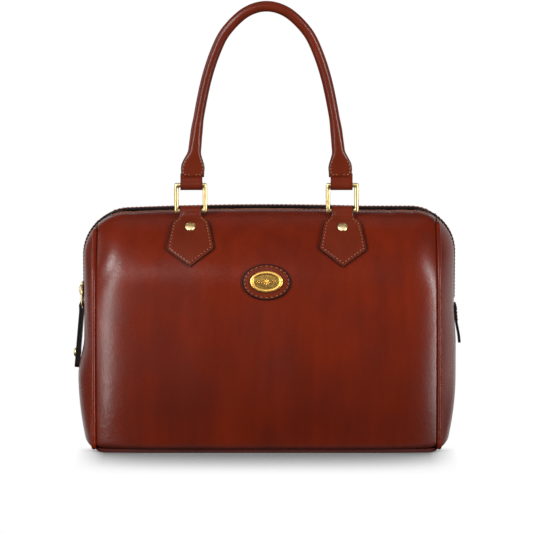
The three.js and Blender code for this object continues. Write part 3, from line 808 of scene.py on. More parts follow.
def leather_finish(name, main, shade, grain, bump, gloss):
    """A leather: clouded colour, pebbled grain and a little gloss."""
    material, tree, shader = new_material(name)
    values = {"Colour": opaque(main), "Shade": opaque(shade), "Grain": grain}
    made = place_group(tree, leather_grain(), values)
    tree.links.new(made["Colour"], shader.inputs["Base Color"])
    tree.links.new(made["Roughness"], shader.inputs["Roughness"])
    shader.inputs["Specular IOR Level"].default_value = gloss
    add_bump(tree, shader, made["Height"], distance=0.0005, strength=bump)
    return material


def gold_finish(name, main, shade, scale, bump):
    """A polished gold metal with dull places and fine scratches."""
    material, tree, shader = new_material(name)
    made = place_group(tree, metal_wear(), {"Scale": scale})
    dulled = mix_colour(tree, made["Dullness"], opaque(main), opaque(shade))
    tree.links.new(dulled, shader.inputs["Base Color"])
    tree.links.new(made["Roughness"], shader.inputs["Roughness"])
    shader.inputs["Metallic"].default_value = 1.0
    add_bump(tree, shader, made["Height"], distance=0.0001, strength=bump)
    return material


def grained_finish(name, main, roughness, scale, bump):
    """A plain finish whose tone and height vary finely, for paint, thread, holes and coil."""
    material, tree, shader = new_material(name)
    place = add_node(tree, "ShaderNodeTexCoord").outputs["Object"]
    fine = noise_value(tree, place, scale, detail=3.0)
    tone = map_range(tree, fine, (0.3, 0.7), (0.65, 1.35))
    tree.links.new(mix_colour(tree, 1.0, opaque(main), tone, "MULTIPLY"), shader.inputs["Base Color"])
    shader.inputs["Roughness"].default_value = roughness
    shader.inputs["Specular IOR Level"].default_value = 0.2
    add_bump(tree, shader, fine, distance=0.0003, strength=bump)
    return material


def tape_finish(name, main):
    """A woven tape: rows along it and picks across it."""
    material, tree, shader = new_material(name)
    place = add_node(tree, "ShaderNodeTexCoord").outputs["UV"]
    rows = add_node(tree, "ShaderNodeTexWave", {"Vector": place, "Scale": 11.0}, bands_direction="X")
    picks = add_node(tree, "ShaderNodeTexWave", {"Vector": place, "Scale": 170.0}, bands_direction="Y")
    weave = calculate(tree, "MULTIPLY", rows.outputs["Fac"], picks.outputs["Fac"])
    tone = map_range(tree, weave, (0.0, 1.0), (0.55, 1.35))
    tree.links.new(mix_colour(tree, 1.0, opaque(main), tone, "MULTIPLY"), shader.inputs["Base Color"])
    shader.inputs["Roughness"].default_value = 0.85
    shader.inputs["Sheen Weight"].default_value = 0.2
    add_bump(tree, shader, weave, distance=0.0004, strength=0.6)
    return material


def finish(name):
    """One of the bag's finishes, made once from the scene's colours."""
    found = bpy.data.materials.get(name)
    if found:
        return found
    shades = bpy.context.scene.bag_colours
    makers = {
        "body_hide": lambda: leather_finish(
            name, shades.leather, shades.leather_shade, grain=900.0, bump=0.09, gloss=0.25
        ),
        "trim_hide": lambda: leather_finish(
            name, shades.trim, shades.trim_shade, grain=1100.0, bump=0.08, gloss=0.25
        ),
        "dark_hide": lambda: leather_finish(
            name, shades.dark, shades.dark_shade, grain=1000.0, bump=0.15, gloss=0.12
        ),
        "edge_paint": lambda: grained_finish(name, shades.paint, roughness=0.6, scale=500.0, bump=0.1),
        "thread": lambda: grained_finish(name, shades.thread, roughness=0.7, scale=3500.0, bump=0.5),
        "needle_hole_shade": lambda: grained_finish(name, shades.hole, roughness=0.9, scale=3000.0, bump=0.2),
        "coil_plastic": lambda: grained_finish(name, shades.coil, roughness=0.4, scale=900.0, bump=0.15),
        "tape_weave": lambda: tape_finish(name, shades.tape),
        "polished_gold": lambda: gold_finish(name, shades.gold, shades.gold_shade, scale=120.0, bump=0.005),
        "plate_gold": lambda: gold_finish(name, shades.plate, shades.gold_shade, scale=120.0, bump=0.005),
        "matt_gold": lambda: gold_finish(name, shades.plate_field, shades.gold_shade, scale=420.0, bump=0.1),
    }
    return makers[name]()


# Leather body


def roll_off(distance, radius):
    """How far a sheet has rolled in, at a distance from its edge."""
    if distance >= radius:
        return 0.0
    return radius - math.sqrt(radius**2 - (radius - distance) ** 2)


def nearness(distance, reach):
    """1 at an edge, fading away from it."""
    return math.exp(-max(0.0, distance) / reach)


class BAG_OT_panels(bpy.types.Operator):
    """Makes the front and back panels, with the stitching along the zip."""

    bl_idname = "bag.panels"
    bl_label = "Panels"

    steps = 130
    rounding = 0.0006
    lower_corner = 0.006
    roll_full = 0.014
    # Darkening of the panels: wear at the end seams and zip, and a painted shade towards the bottom and
    # round the rolled-under edge
    wear = 0.75
    wear_reach = 0.006
    seam_wear_reach = 0.0012
    shaded_roll = 0.7
    base_shade = 0.6
    shade_from = 0.4
    zip_row = 0.0042
    sewn = (-0.134, 0.141)

    def execute(self, context):
        sizes = context.scene.bag_body
        pitch = context.scene.bag_thread.zip_pitch
        body = BagBody(sizes)
        half = sizes.panel_half + sizes.run_on
        start, end = self.sewn
        shade_from = self.shade_from * body.length

        def spot(u, v):
            distance = v * body.length
            width = half - roll_off(body.length - distance, self.lower_corner)
            return width * spread(u), distance, width

        for name, side in SIDES.items():

            def place(u, v):
                x, distance, width = spot(u, v)
                point, normal, _ = body.on_panel(x, distance, side)
                rolled = roll_off(width - abs(x), sizes.edge_roll)
                return point - normal * (rolled * smooth_step(distance, 0.0, self.roll_full))

            def edge(u, v):
                x, distance, width = spot(u, v)
                # Painted shade: darker towards the bottom, and darkest round the rolled-under edge
                rolled_under = body.length - distance - ROLL_UNDER.length * self.shaded_roll
                lower = self.base_shade * smooth_step(distance, shade_from, body.length)
                lower = max(lower, nearness(rolled_under, self.wear_reach))
                seam = nearness(width - abs(x), self.seam_wear_reach)
                return self.wear * max(seam, nearness(distance, self.wear_reach), lower)

            mesh = face_along(bent_sheet(self.steps, self.steps, place, edge), Y_AXIS * side)
            node = f"{name}_panel"
            made = {"node": node, "wall": sizes.leather, "rounding": self.rounding}
            add_sheet(f"{node}_leather", mesh, "bag", "leather", "body_hide", "edge_paint", **made)
            line = [body.panel(start + (end - start) * share, self.zip_row, side) for share in shares(200)]
            places = []
            for point, along in even_steps(line, pitch):
                places.append((point, along, body.on_panel(point.x, self.zip_row, side)[1]))
            add_stitches(f"{name}_zip_stitches", places, pitch, "bag", "leather")
        return {"FINISHED"}


class EndRim:
    """The outline of an end panel: its outer edge along the seam, and the zip's slot inside it."""

    steps = 240
    bottom_share = 0.3
    round_share = 0.25
    first = 0.0005
    last_trim = 0.0008
    top_trim = 0.0004
    trim_full = 0.016
    bottom_z = 0.0012

    def __init__(self, body, corner):
        sizes = body.sizes
        last = body.length - self.last_trim
        self.rim = []
        for share in shares(self.steps):
            distance = last + (self.first - last) * share
            trim = (sizes.gusset_trim - self.top_trim) * smooth_step(distance, self.first, self.trim_full)
            self.rim.append(body.seam(corner, distance, 1, -self.top_trim - trim))
        self.rim[0].z = self.bottom_z
        self.widest = max(range(self.steps + 1), key=lambda step: self.rim[step].y)
        self.slot = sizes.zip_gap
        self.slot_z = sizes.zip_end_z + self.slot

    def depth(self, z):
        """Half the depth of the end panel at a level."""
        rim = self.rim
        if z <= rim[self.widest].z:
            return rim[self.widest].y
        low, high = self.widest, self.steps
        while high - low > 1:
            middle = (low + high) // 2
            low, high = (middle, high) if rim[middle].z <= z else (low, middle)
        share = (z - rim[low].z) / max(MERGE, rim[high].z - rim[low].z)
        return rim[low].y + (rim[high].y - rim[low].y) * min(1.0, share)

    def outer(self, share):
        """A point of the outer edge, from the bottom's middle round to the top."""
        if share < self.bottom_share:
            return Vector((0, self.rim[0].y * share / self.bottom_share, self.rim[0].z))
        place = (share - self.bottom_share) / (1 - self.bottom_share) * self.steps
        low = min(int(place), self.steps - 1)
        return self.rim[low].lerp(self.rim[low + 1], place - low)

    def inner(self, share):
        """A point of the slot's edge, from its round end's middle up to the top."""
        if share < self.round_share:
            angle = math.pi / 2 * share / self.round_share
            return Vector((0, self.slot * math.sin(angle), self.slot_z - self.slot * math.cos(angle)))
        rise = (share - self.round_share) / (1 - self.round_share)
        return Vector((0, self.slot, self.slot_z + (self.rim[-1].z - self.slot_z) * rise))


class BAG_OT_gussets(bpy.types.Operator):
    """Makes the swelling end panels, slotted for the zip, with the stitching round the slot."""

    bl_idname = "bag.gussets"
    bl_label = "End panels"

    columns = 150
    rows = 36
    rounding = 0.0008
    waves = Vector((5, 16, 11))
    wave_share = 0.5
    seam_roll = 0.0025
    slot_roll = 0.0009
    wear = 0.75
    seam_wear_reach = 0.003
    slot_wear_reach = 0.0012
    stitch_inset = 0.0042
    stitch_sink = 0.0004

    def execute(self, context):
        sizes = context.scene.bag_body
        pitch = context.scene.bag_thread.zip_pitch
        body = BagBody(sizes)
        for name, corner in body.corners.items():
            rim = EndRim(body, corner)
            out = X_AXIS * corner.side

            def spot(u, v):
                share = abs(2 * u - 1)
                start, end = rim.outer(share), rim.inner(share)
                across = 0.5 - 0.5 * math.cos(math.pi * v)
                point = Vector((0, *(start.lerp(end, across).yz)))
                reach = (end - start).yz.length
                return point, reach * across, reach * (1 - across)

            def on_face(point, side):
                reach = body.end_face(corner, point.y / rim.depth(point.z), point.z)
                where = Vector((corner.side, side * point.y, point.z)) * self.waves
                wave = sizes.slump * noise.noise(where)
                return Vector((reach + corner.side * wave * self.wave_share, side * point.y, point.z))

            def place(u, v):
                point, seam_way, slot_way = spot(u, v)
                rolled = roll_off(seam_way, self.seam_roll) + roll_off(slot_way, self.slot_roll)
                return on_face(point, 1 if u >= 0.5 else -1) - out * rolled

            def edge(u, v):
                _, seam_way, slot_way = spot(u, v)
                seam = nearness(seam_way, self.seam_wear_reach)
                return self.wear * max(seam, nearness(slot_way, self.slot_wear_reach))

            mesh = face_along(bent_sheet(self.columns, self.rows, place, edge), out)
            stem = f"{name}_gusset"
            made = {"node": stem, "wall": sizes.leather, "rounding": self.rounding}
            add_sheet(f"{stem}_leather", mesh, "bag", "leather", "body_hide", **made)
            line = []
            for way in shares(200):
                start = rim.inner(abs(2 * way - 1))
                beside = (rim.outer(abs(2 * way - 1)) - start).normalized()
                point = on_face(start + beside * self.stitch_inset, 1 if way >= 0.5 else -1)
                line.append(point - out * self.stitch_sink)
            places = [(point, along, out) for point, along in even_steps(line, pitch)]
            add_stitches(f"{stem}_stitches", places, pitch, "bag", "leather")
        return {"FINISHED"}


class BAG_OT_base(bpy.types.Operator):
    """Makes the stiff base that the bag stands on."""

    bl_idname = "bag.base"
    bl_label = "Base"

    columns = 60
    rows = 90
    rounding = 0.0011
    end_trim = 0.0055
    run_out = 0.0015
    corner = 0.006
    # How far in from the base's edges its painted shade reaches
    wear_reach = 0.004
    end_shade_length = 0.3

    def execute(self, context):
        sizes = context.scene.bag_body
        body = BagBody(sizes)
        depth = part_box("base_panel")[1].y + self.run_out

        def place(u, v):
            across = spread(u)
            trim = self.end_trim + roll_off(edge_way(u, depth), self.corner)
            left = body.end_face(body.corners["left"], across, sizes.base_top) + trim
            right = body.end_face(body.corners["right"], across, sizes.base_top) - trim
            return Vector((left + (right - left) * v, across * depth, 0.0))

        # Painted shade: the base grows darker towards its edges, under the panels' roll
        def edge(u, v):
            return nearness(min(edge_way(u, depth), self.end_shade_length * min(v, 1 - v)), self.wear_reach)

        mesh = face_along(bent_sheet(self.columns, self.rows, place, edge), -Z_AXIS)
        made = {"node": "base_panel", "wall": sizes.base_top, "rounding": self.rounding}
        add_sheet("base_leather", mesh, "bag", "leather", "body_hide", **made)
        return {"FINISHED"}


class BAG_OT_piping(bpy.types.Operator):
    """Makes the rolled piping round both ends."""

    bl_idname = "bag.piping"
    bl_label = "Piping"

    sides = 14
    start = 0.005
    under_share = 0.35
    spacing = 0.007
    line_steps = 5
    bow = (-0.86, -0.65, -0.35, 0.0, 0.35, 0.65, 0.86)
    bow_trim = 0.003
    sunk = 0.0027
    rise = 0.024
    tip = 0.2
    taper = 14

    def execute(self, context):
        sizes = context.scene.bag_body
        body = BagBody(sizes)
        low = PIPING_LIFT + sizes.piping
        last = body.length - ROLL_UNDER.length * self.under_share
        count = round((last - self.start) / self.spacing)
        for name, corner in body.corners.items():
            down = []
            for share in shares(count):
                distance = self.start + (last - self.start) * share
                sunk = self.sunk * (1 - smooth_step(distance, self.start, self.start + self.rise))
                point = body.seam(corner, distance, 1, PIPING_PROUD - sunk)
                point.z = max(point.z, low)
                down.append(point)
            under = []
            for across in self.bow:
                out = body.end_face(corner, across, low) - corner.side * self.bow_trim
                under.append(Vector((out, across * down[-1].y, low)))
            front = [Vector((point.x, -point.y, point.z)) for point in down]
            line = smooth_line(front + under + down[::-1], self.line_steps)

            def section(number):
                way = min(number, len(line) - 1 - number) / self.taper
                radius = sizes.piping * (self.tip + (1 - self.tip) * math.sqrt(min(1.0, way)))
                return radius, radius, 2

            mesh = swept_tube(line, self.sides, section, X_AXIS)
            stem = f"{name}_piping"
            add_piece(f"{stem}_roll", mesh, "bag", "leather", "body_hide", node=stem)
        return {"FINISHED"}


# Zip


def zip_places(body, end_z, spacing):
    """Evenly spaced places along the zip, each with its direction and outward normal."""
    places = []
    for point, along in even_steps(body.zip_line(end_z), spacing):
        places.append((point, along, Vector((-along.z, 0, along.x))))
    return places


class BAG_OT_zip(bpy.types.Operator):
    """Makes the zip's woven tape and its single teeth."""

    bl_idname = "bag.zip"
    bl_label = "Zip"

    tape_end_z = 0.108
    tape_thickness = 0.001
    tape_rounding = 0.0002
    tape_columns = 14
    tape_spacing = 0.002
    teeth_end_z = 0.1175
    raised_half = 0.0085
    raised_run = 0.015
    raised_levels = (0.116, 0.123)
    tooth_pitch = 0.0016
    tooth_half = (0.00105, 0.0009, 0.0019)
    tooth_shift = 0.0011
    tooth_seat = 0.8

    def sink(self, body, fittings, point, across):
        """How deep the tape lies: its middle rises at the corners and on the ends."""
        start = body.corner(point.x).start
        raised = smooth_step(abs(point.x), start, start + self.raised_run)
        raised *= smooth_step(point.z, *self.raised_levels)
        raised *= 1 - min(1.0, abs(across) / self.raised_half) ** 2
        return fittings.tape_sink + (fittings.end_sink - fittings.tape_sink) * raised

    def execute(self, context):
        body = BagBody(context.scene.bag_body)
        fittings = context.scene.bag_fittings
        tape = zip_places(body, self.tape_end_z, self.tape_spacing)

        def place(u, v):
            point, _, normal = row_at(tape, v)
            across = fittings.tape_half * (2 * u - 1)
            return point - normal * self.sink(body, fittings, point, across) + Y_AXIS * across

        mesh = face_along(bent_sheet(self.tape_columns, len(tape) - 1, place), Z_AXIS)
        made = {"node": "zip_tape", "wall": self.tape_thickness, "rounding": self.tape_rounding}
        add_sheet("zip_tape_weave", mesh, "bag", "zip_tape", "tape_weave", **made)
        thin, tall, wide = self.tooth_half
        teeth = bmesh.new()
        places = zip_places(body, self.teeth_end_z, self.tooth_pitch)
        for number, (point, along, normal) in enumerate(places):
            shift = self.tooth_shift * (1 if number % 2 else -1)
            depth = self.sink(body, fittings, point, 0.0) - tall * self.tooth_seat
            middle = point - normal * depth + Y_AXIS * shift
            add_bead(teeth, axes_matrix(normal * tall, along * thin, Y_AXIS * wide, middle))
        add_piece("zip_coil_teeth", teeth, "bag", "zip_coil", "coil_plastic", node="zip_teeth")
        return {"FINISHED"}


class BAG_OT_slider(bpy.types.Operator):
    """Makes the zip's slider with its bridge and wire bail, at the left end."""

    bl_idname = "bag.slider"
    bl_label = "Zip slider"

    half_width = 0.005
    half_height = 0.007
    tail_share = 0.78
    tail_levels = (-0.8, 0.6)
    corner = 0.002
    crown = 0.0006
    proud = 0.0025
    seat = 0.0019
    plate = 0.0016
    plate_rounding = 0.0005
    bridge_rise = 0.0024
    bridge_half = 0.0050
    bridge_section = (0.0014, 0.0006, 3)
    bail_half = 0.0076
    bail_drop = 0.014
    bail_corner = 0.002
    bail_wire = 0.0009
    bail_rise = 0.0004
    bail_lean = 0.0003

    def execute(self, context):
        body = BagBody(context.scene.bag_body)
        level = context.scene.bag_fittings.slider_z
        face = -body.end_reach(body.corners["left"], level)

        def place(u, v):
            up = 2 * v - 1
            across = spread(u)
            widened = smooth_step(up, *self.tail_levels)
            width = self.half_width * (self.tail_share + (1 - self.tail_share) * widened)
            width -= roll_off(self.half_height * (1 - abs(up)), self.corner)
            crown = self.crown * (1 - across * across) * (1 - up * up)
            return Vector((face - self.proud - crown, width * across, level + self.half_height * up))

        mesh = face_along(bent_sheet(20, 28, place), -X_AXIS)
        made = {"node": "zip_slider", "wall": self.plate, "rounding": self.plate_rounding}
        add_sheet("zip_slider_plate", mesh, "bag", "gold", "polished_gold", **made)
        bridge = []
        for share in shares(16):
            angle = math.pi * share
            out = face - self.seat - self.bridge_rise * math.sin(angle)
            bridge.append(Vector((out, 0, level + self.bridge_half * math.cos(angle))))
        arch = swept_tube(bridge, 10, lambda number: self.bridge_section, Y_AXIS)
        add_piece("zip_slider_bridge", arch, "bag", "gold", "polished_gold")
        line = []
        for point in rounded_frame(self.bail_half, self.bail_drop, self.bail_corner):
            drop = self.bail_drop - point.z
            lean = self.bail_lean * drop / self.bail_drop
            line.append(Vector((face - self.seat - lean, point.x, level + self.bail_rise - drop)))
        wire = swept_tube(line, 12, lambda number: (self.bail_wire, self.bail_wire, 2), X_AXIS, closed=True)
        add_piece("zip_slider_bail", wire, "bag", "gold", "polished_gold")
        return {"FINISHED"}


def rounded_frame(half_width, height, radius):
    """Points round an upright frame that stands on the X axis, in the XZ plane."""
    corners = ((1, radius, -90), (1, height - radius, 0), (-1, height - radius, 90), (-1, radius, 180))
    points = []
    for side, level, start in corners:
        for share in shares(10):
            angle = math.radians(start + 90 * share)
            x = side * (half_width - radius) + radius * math.cos(angle)
            points.append(Vector((x, 0, level + radius * math.sin(angle))))
    return points


RIVET_FOOT = 0.2


def add_rivet(name, matrix, radius, height, node=None):
    """A domed rivet head with a short upright foot, which stands on the matrix's XY plane."""
    foot = height * RIVET_FOOT
    profile = []
    for share in shares(9):
        angle = math.pi / 2 * share
        profile.append((radius * math.sin(angle), foot + (height - foot) * math.cos(angle)))
    profile += [(radius, 0.0), (0.0, 0.0)]
    mesh = turned_shape(profile, 36, lambda point: matrix @ point)
    add_piece(name, mesh, "bag", "gold", "polished_gold", node=node)


class BAG_OT_puller(bpy.types.Operator):
    """Makes the folded puller that hangs from the bail, with its rivet."""

    bl_idname = "bag.puller"
    bl_label = "Zip puller"

    lean = math.radians(5.2)
    wall = 0.0020
    rounding = 0.0003
    half_gap = 0.0001
    bend = 0.0027
    bend_reach = 0.003
    top_half = 0.0055
    low_half = 0.007
    widest_at = 0.03
    end_round = 0.004
    wear_reach = 0.0012
    columns = 16
    back_rows = 30
    rivet_up = 0.013
    rivet_head = (0.004, 0.002)
    rivet_cap = (0.003, 0.0005)

    def execute(self, context):
        fittings = context.scene.bag_fittings
        body = BagBody(context.scene.bag_body)
        slider = BAG_OT_slider
        level = fittings.slider_z
        face = -body.end_reach(body.corners["left"], level)
        bar_z = level + slider.bail_rise - slider.bail_drop
        bar = Vector((face - slider.seat - slider.bail_lean, 0, bar_z))
        down = Vector((-math.sin(self.lean), 0, -math.cos(self.lean)))
        out = Vector((-math.cos(self.lean), 0, math.sin(self.lean)))
        reach = fittings.puller_length
        flat = self.half_gap + self.wall
        back = []
        for share in shares(40):
            way = reach * (1 - share)
            opened = math.exp(-((way / self.bend_reach) ** 2))
            back.append((way, -(flat + (self.bend - flat) * opened)))
        fold = []
        for share in shares(16)[1:-1]:
            angle = math.pi * share
            fold.append((-self.bend * math.sin(angle), -self.bend * math.cos(angle)))
        line = back + fold + [(way, -height) for way, height in back[::-1]]

        def width_at(way):
            width = self.top_half + (self.low_half - self.top_half) * smooth_step(way, 0.0, self.widest_at)
            return width - roll_off(reach - way, self.end_round)

        def place(u, v):
            way, height = row_at(line, v)
            return bar + down * way + out * height + Y_AXIS * (width_at(way) * spread(u))

        def edge(u, v):
            way, _ = row_at(line, v)
            return nearness(edge_way(u, width_at(way)), self.wear_reach)

        mesh = bent_sheet(self.columns, len(line) - 1, place, edge)
        face_along(mesh, -out, self.columns * self.back_rows)
        made = {"node": "zip_puller", "wall": self.wall, "rounding": self.rounding}
        add_sheet("puller_strip", mesh, "bag", "dark_leather", "dark_hide", "edge_paint", **made)
        middle = bar + down * (reach - self.rivet_up)
        head = axes_matrix(Y_AXIS, out.cross(Y_AXIS), out, middle + out * flat)
        add_rivet("puller_rivet_head", head, *self.rivet_head, node="zip_puller_rivet")
        cap = axes_matrix(Y_AXIS, Y_AXIS.cross(out), -out, middle - out * flat)
        add_rivet("puller_rivet_cap", cap, *self.rivet_cap)
        return {"FINISHED"}


class BAG_OT_end_tab(bpy.types.Operator):
    """Makes the tab over the zip's right end."""

    bl_idname = "bag.end_tab"
    bl_label = "Zip end tab"

    top = 0.1165
    bottom = 0.0815
    half_width = 0.009
    tip_half = 0.006
    narrows_after = 0.015
    tip_round = 0.004
    top_round = 0.0015
    rounding = 0.0004
    face_half = 0.075
    lift = 0.0023
    lift_from = 0.108
    wear_reach = 0.0012
    sewn_to = 0.103

    def execute(self, context):
        sizes = context.scene.bag_body
        thread = context.scene.bag_thread
        body = BagBody(sizes)
        over = sizes.gap + sizes.leather

        def width_at(z):
            share = smooth_step(self.top - z, self.narrows_after, self.top - self.bottom)
            width = self.half_width + (self.tip_half - self.half_width) * share
            width -= roll_off(z - self.bottom, self.tip_round)
            return width - roll_off(self.top - z, self.top_round)

        def on_tab(y, z):
            raised = self.lift * smooth_step(self.lift_from - z, 0.0, self.lift_from - self.bottom)
            face = body.end_face(body.corners["right"], y / self.face_half, z)
            return Vector((face + over + raised, y, z))

        def place(u, v):
            z = self.bottom + (self.top - self.bottom) * v
            return on_tab(width_at(z) * spread(u), z)

        def edge(u, v):
            z = self.bottom + (self.top - self.bottom) * v
            return nearness(edge_way(u, width_at(z)), self.wear_reach)

        mesh = face_along(bent_sheet(18, 50, place, edge), X_AXIS)
        made = {"node": "zip_end_tab", "wall": sizes.leather, "rounding": self.rounding}
        add_sheet("end_tab_strip", mesh, "bag", "dark_leather", "dark_hide", "edge_paint", **made)
        wide = self.half_width - thread.inset
        high = self.top - thread.inset
        corners = [(-wide, self.sewn_to), (-wide, high), (wide, high), (wide, self.sewn_to)]
        line = [on_tab(y, z) for y, z in corners]
        places = [(point, along, X_AXIS) for point, along in even_steps(line, thread.pitch)]
        add_stitches("end_tab_stitches", places, thread.pitch, "bag", "dark_leather")
        return {"FINISHED"}


# Badge


class BAG_OT_badge(bpy.types.Operator):
    """Makes the stitched leather badge and its metal plate with a plain rosette."""

    bl_idname = "bag.badge"
    bl_label = "Badge"

    patch_face = ((0.0, 1.08), (0.45, 1.06), (0.8, 1.02), (0.93, 1.0))
    patch_rim = ((0.968, 0.93), (0.99, 0.75), (1.0, 0.45), (0.998, 0.1), (0.985, 0.0), (0.0, 0.0))
    patch_paint_foot = 0.05
    stitches = 26
    stitch_inset = 0.0021
    stitch_lift = 1.02
    stitch_longer = 1.05
    plate_foot = 1.05
    plate_height = 0.0018
    field_height = 0.0009
    field_reaches = (0.0, 0.3, 0.62, 0.66)
    field_edge = 0.67
    rim_rise = ((0.69, 0.85), (0.74, 1.0), (0.86, 1.02), (0.94, 0.92))
    rim_fall = ((0.985, 0.7), (1.0, 0.3), (0.99, 0.0), (0.0, 0.0))
    lengthened_by = 0.5
    relief_height = 0.0006
    petals = 8
    petal_reach = 0.0016
    petal_half = (0.0012, 0.0005)
    bud_half = (0.0008, 0.0008)
    leaves = 5
    leaf_start = 0.0042
    leaf_pitch = 0.0011
    leaf_rise = 0.0007
    leaf_tilt = 0.9
    leaf_half = (0.0010, 0.0004)
    leaf_shrink = 0.00008

    def execute(self, context):
        sizes = context.scene.bag_body
        fittings = context.scene.bag_fittings
        body = BagBody(sizes)
        leather = sizes.leather
        half_x, half_z = fittings.patch_half_x, fittings.patch_half_z
        face_edge, _ = self.patch_face[-1]

        def on_badge(x, up, lift):
            return body.on_panel(x, fittings.badge_down - up, -1, lift)

        def place(point):
            return on_badge(point.x * half_x, point.y * half_z, sizes.gap + point.z * leather)[0]

        def paint(radius, height):
            return int(radius > face_edge and height > self.patch_paint_foot)

        patch = turned_shape(self.patch_face + self.patch_rim, 72, place, paint)
        finishes = "trim_hide", "edge_paint"
        add_piece("badge_leather", patch, "bag", "trim_leather", *finishes, node="badge_patch")
        places = []
        for step in range(self.stitches):
            angle = 2 * math.pi * (step + 0.5) / self.stitches
            x = (half_x - self.stitch_inset) * math.cos(angle)
            up = (half_z - self.stitch_inset) * math.sin(angle)
            point, normal, lower = on_badge(x, up, sizes.gap + leather * self.stitch_lift)
            way = X_AXIS * (-half_x * math.sin(angle)) - lower * (half_z * math.cos(angle))
            places.append((point, way.normalized(), normal))
        pitch = context.scene.bag_thread.pitch * self.stitch_longer
        add_stitches("badge_stitches", places, pitch, "bag", "trim_leather")
        foot = sizes.gap + leather * self.plate_foot
        self.make_plate(fittings, on_badge, foot)
        self.make_relief(on_badge, foot + self.field_height)
        return {"FINISHED"}

    def make_plate(self, fittings, on_badge, foot):
        """The oval plate, with a raised rim round a matt field."""
        half_x, half_z = fittings.plate_half_x, fittings.plate_half_z
        profile = [(reach, self.field_height) for reach in self.field_reaches]
        profile += [(reach, self.plate_height * share) for reach, share in self.rim_rise + self.rim_fall]

        def place(point):
            reach = math.hypot(point.x, point.y)
            longer = (half_x - half_z) * min(1.0, reach / self.lengthened_by)
            angle = math.atan2(point.y, point.x)
            x = (half_z * reach + longer) * math.cos(angle)
            return on_badge(x, half_z * reach * math.sin(angle), foot + point.z)[0]

        def paint(radius, height):
            return int(radius < self.field_edge and height > self.field_height / 2)

        plate = turned_shape(profile, 96, place, paint)
        finishes = "plate_gold", "matt_gold"
        add_piece("badge_plate_metal", plate, "bag", "gold", *finishes, node="badge_plate")

    def make_relief(self, on_badge, lift):
        """A rosette between two leaf sprays, on the plate's field."""
        relief = bmesh.new()

        def add_leaf(x, up, heading, half_length, half_width):
            point, normal, lower = on_badge(x, up, lift)
            along = X_AXIS * math.cos(heading) - lower * math.sin(heading)
            across = normal.cross(along) * half_width
            leaf = axes_matrix(across, normal * self.relief_height, along * half_length, point)
            add_bead(relief, leaf, 0, 10, 6)

        for petal in range(self.petals):
            heading = 2 * math.pi * petal / self.petals
            x, up = self.petal_reach * math.cos(heading), self.petal_reach * math.sin(heading)
            add_leaf(x, up, heading, *self.petal_half)
        add_leaf(0.0, 0.0, 0.0, *self.bud_half)
        half_length, half_width = self.leaf_half
        for side in (-1, 1):
            for leaf in range(self.leaves):
                x = side * (self.leaf_start + self.leaf_pitch * leaf)
                tilt = self.leaf_tilt if leaf % 2 else -self.leaf_tilt
                heading = tilt if side > 0 else math.pi - tilt
                up = math.copysign(self.leaf_rise, tilt)
                add_leaf(x, up, heading, half_length - self.leaf_shrink * leaf, half_width)
        add_piece("badge_rosette", relief, "bag", "gold", "plate_gold")


# Chapes, rings and handles


class Outline(NamedTuple):
    """A corner of the chape: how far below the ring's bar, and its half width there."""

    down: float
    half: float


CHAPE_CORNERS = (
    Outline(0.0046, 0.0095),
    Outline(0.0118, 0.0161),
    Outline(0.0392, 0.0209),
    Outline(0.0552, 0.0),
)
TRIM_WEAR = 0.8
TRIM_WEAR_REACH = 0.0009
CHAPE_ROUNDING = (-0.0014, -0.0007, 0.0, 0.0007, 0.0014)
HANDLE_PATH = (
    (0.0073, 0.0640),
    (0.0160, 0.0638),
    (0.0305, 0.0622),
    (0.0566, 0.0590),
    (0.0912, 0.0520),
    (0.1170, 0.0435),
    (0.1343, 0.0342),
    (0.1498, 0.0178),
    (0.1550, 0.0),
)


class HandleSection(NamedTuple):
    """A handle's half sizes at a height above its ring, and how square it is there."""

    rise: float
    wide: float
    deep: float
    square: float


HANDLE_SECTIONS = (
    HandleSection(0.0073, 0.0099, 0.0024, 5.0),
    HandleSection(0.0150, 0.0103, 0.0026, 5.0),
    HandleSection(0.0310, 0.0056, 0.0042, 2.4),
    HandleSection(0.0450, 0.0053, 0.0045, 2.0),
    HandleSection(0.0600, 0.0046, 0.0045, 2.0),
)


def ring_frame(side):
    """The place of a pair of rings: its origin on the lower bar, its Z towards the upper bar."""
    lower = PIVOTS[f"{side}_ring_swing"]
    up = (PIVOTS[f"{side}_handle_swing"] - lower).normalized()
    return axes_matrix(X_AXIS, up.cross(X_AXIS), up, lower)


def handle_frame(side, fittings):
    """The place of a handle: its origin on the rings' upper bar, its Z along the handle."""
    lean = fittings.back_lean if side == "back" else 0.0
    up = Vector((0, math.sin(lean), math.cos(lean)))
    return axes_matrix(X_AXIS, up.cross(X_AXIS), up, PIVOTS[f"{side}_handle_swing"])


def chape_half(down):
    """A chape's half width, its corners rounded off."""
    total = 0.0
    for shift in CHAPE_ROUNDING:
        way = down + shift
        half = CHAPE_CORNERS[0].half
        for upper, lower in zip(CHAPE_CORNERS, CHAPE_CORNERS[1:]):
            if way > upper.down:
                share = min(1.0, (way - upper.down) / (lower.down - upper.down))
                half = upper.half + (lower.half - upper.half) * share
        total += half
    return total / len(CHAPE_ROUNDING)


def inset_line(points, inset):
    """A line of flat points moved sideways, to its left, by an inset."""
    moved = []
    for first, second in zip(points, points[1:]):
        along = (second - first).normalized()
        beside = Vector((-along.y, along.x, 0)) * inset
        moved.append((first + beside, along))
    line = [moved[0][0]]
    for (first, along), (second, onward) in zip(moved, moved[1:]):
        cross = along.x * onward.y - along.y * onward.x
        gap = second - first
        line.append(first + along * ((gap.x * onward.y - gap.y * onward.x) / cross))
    last, along = moved[-1]
    return line + [last + along * (points[-1] - points[-2]).length]


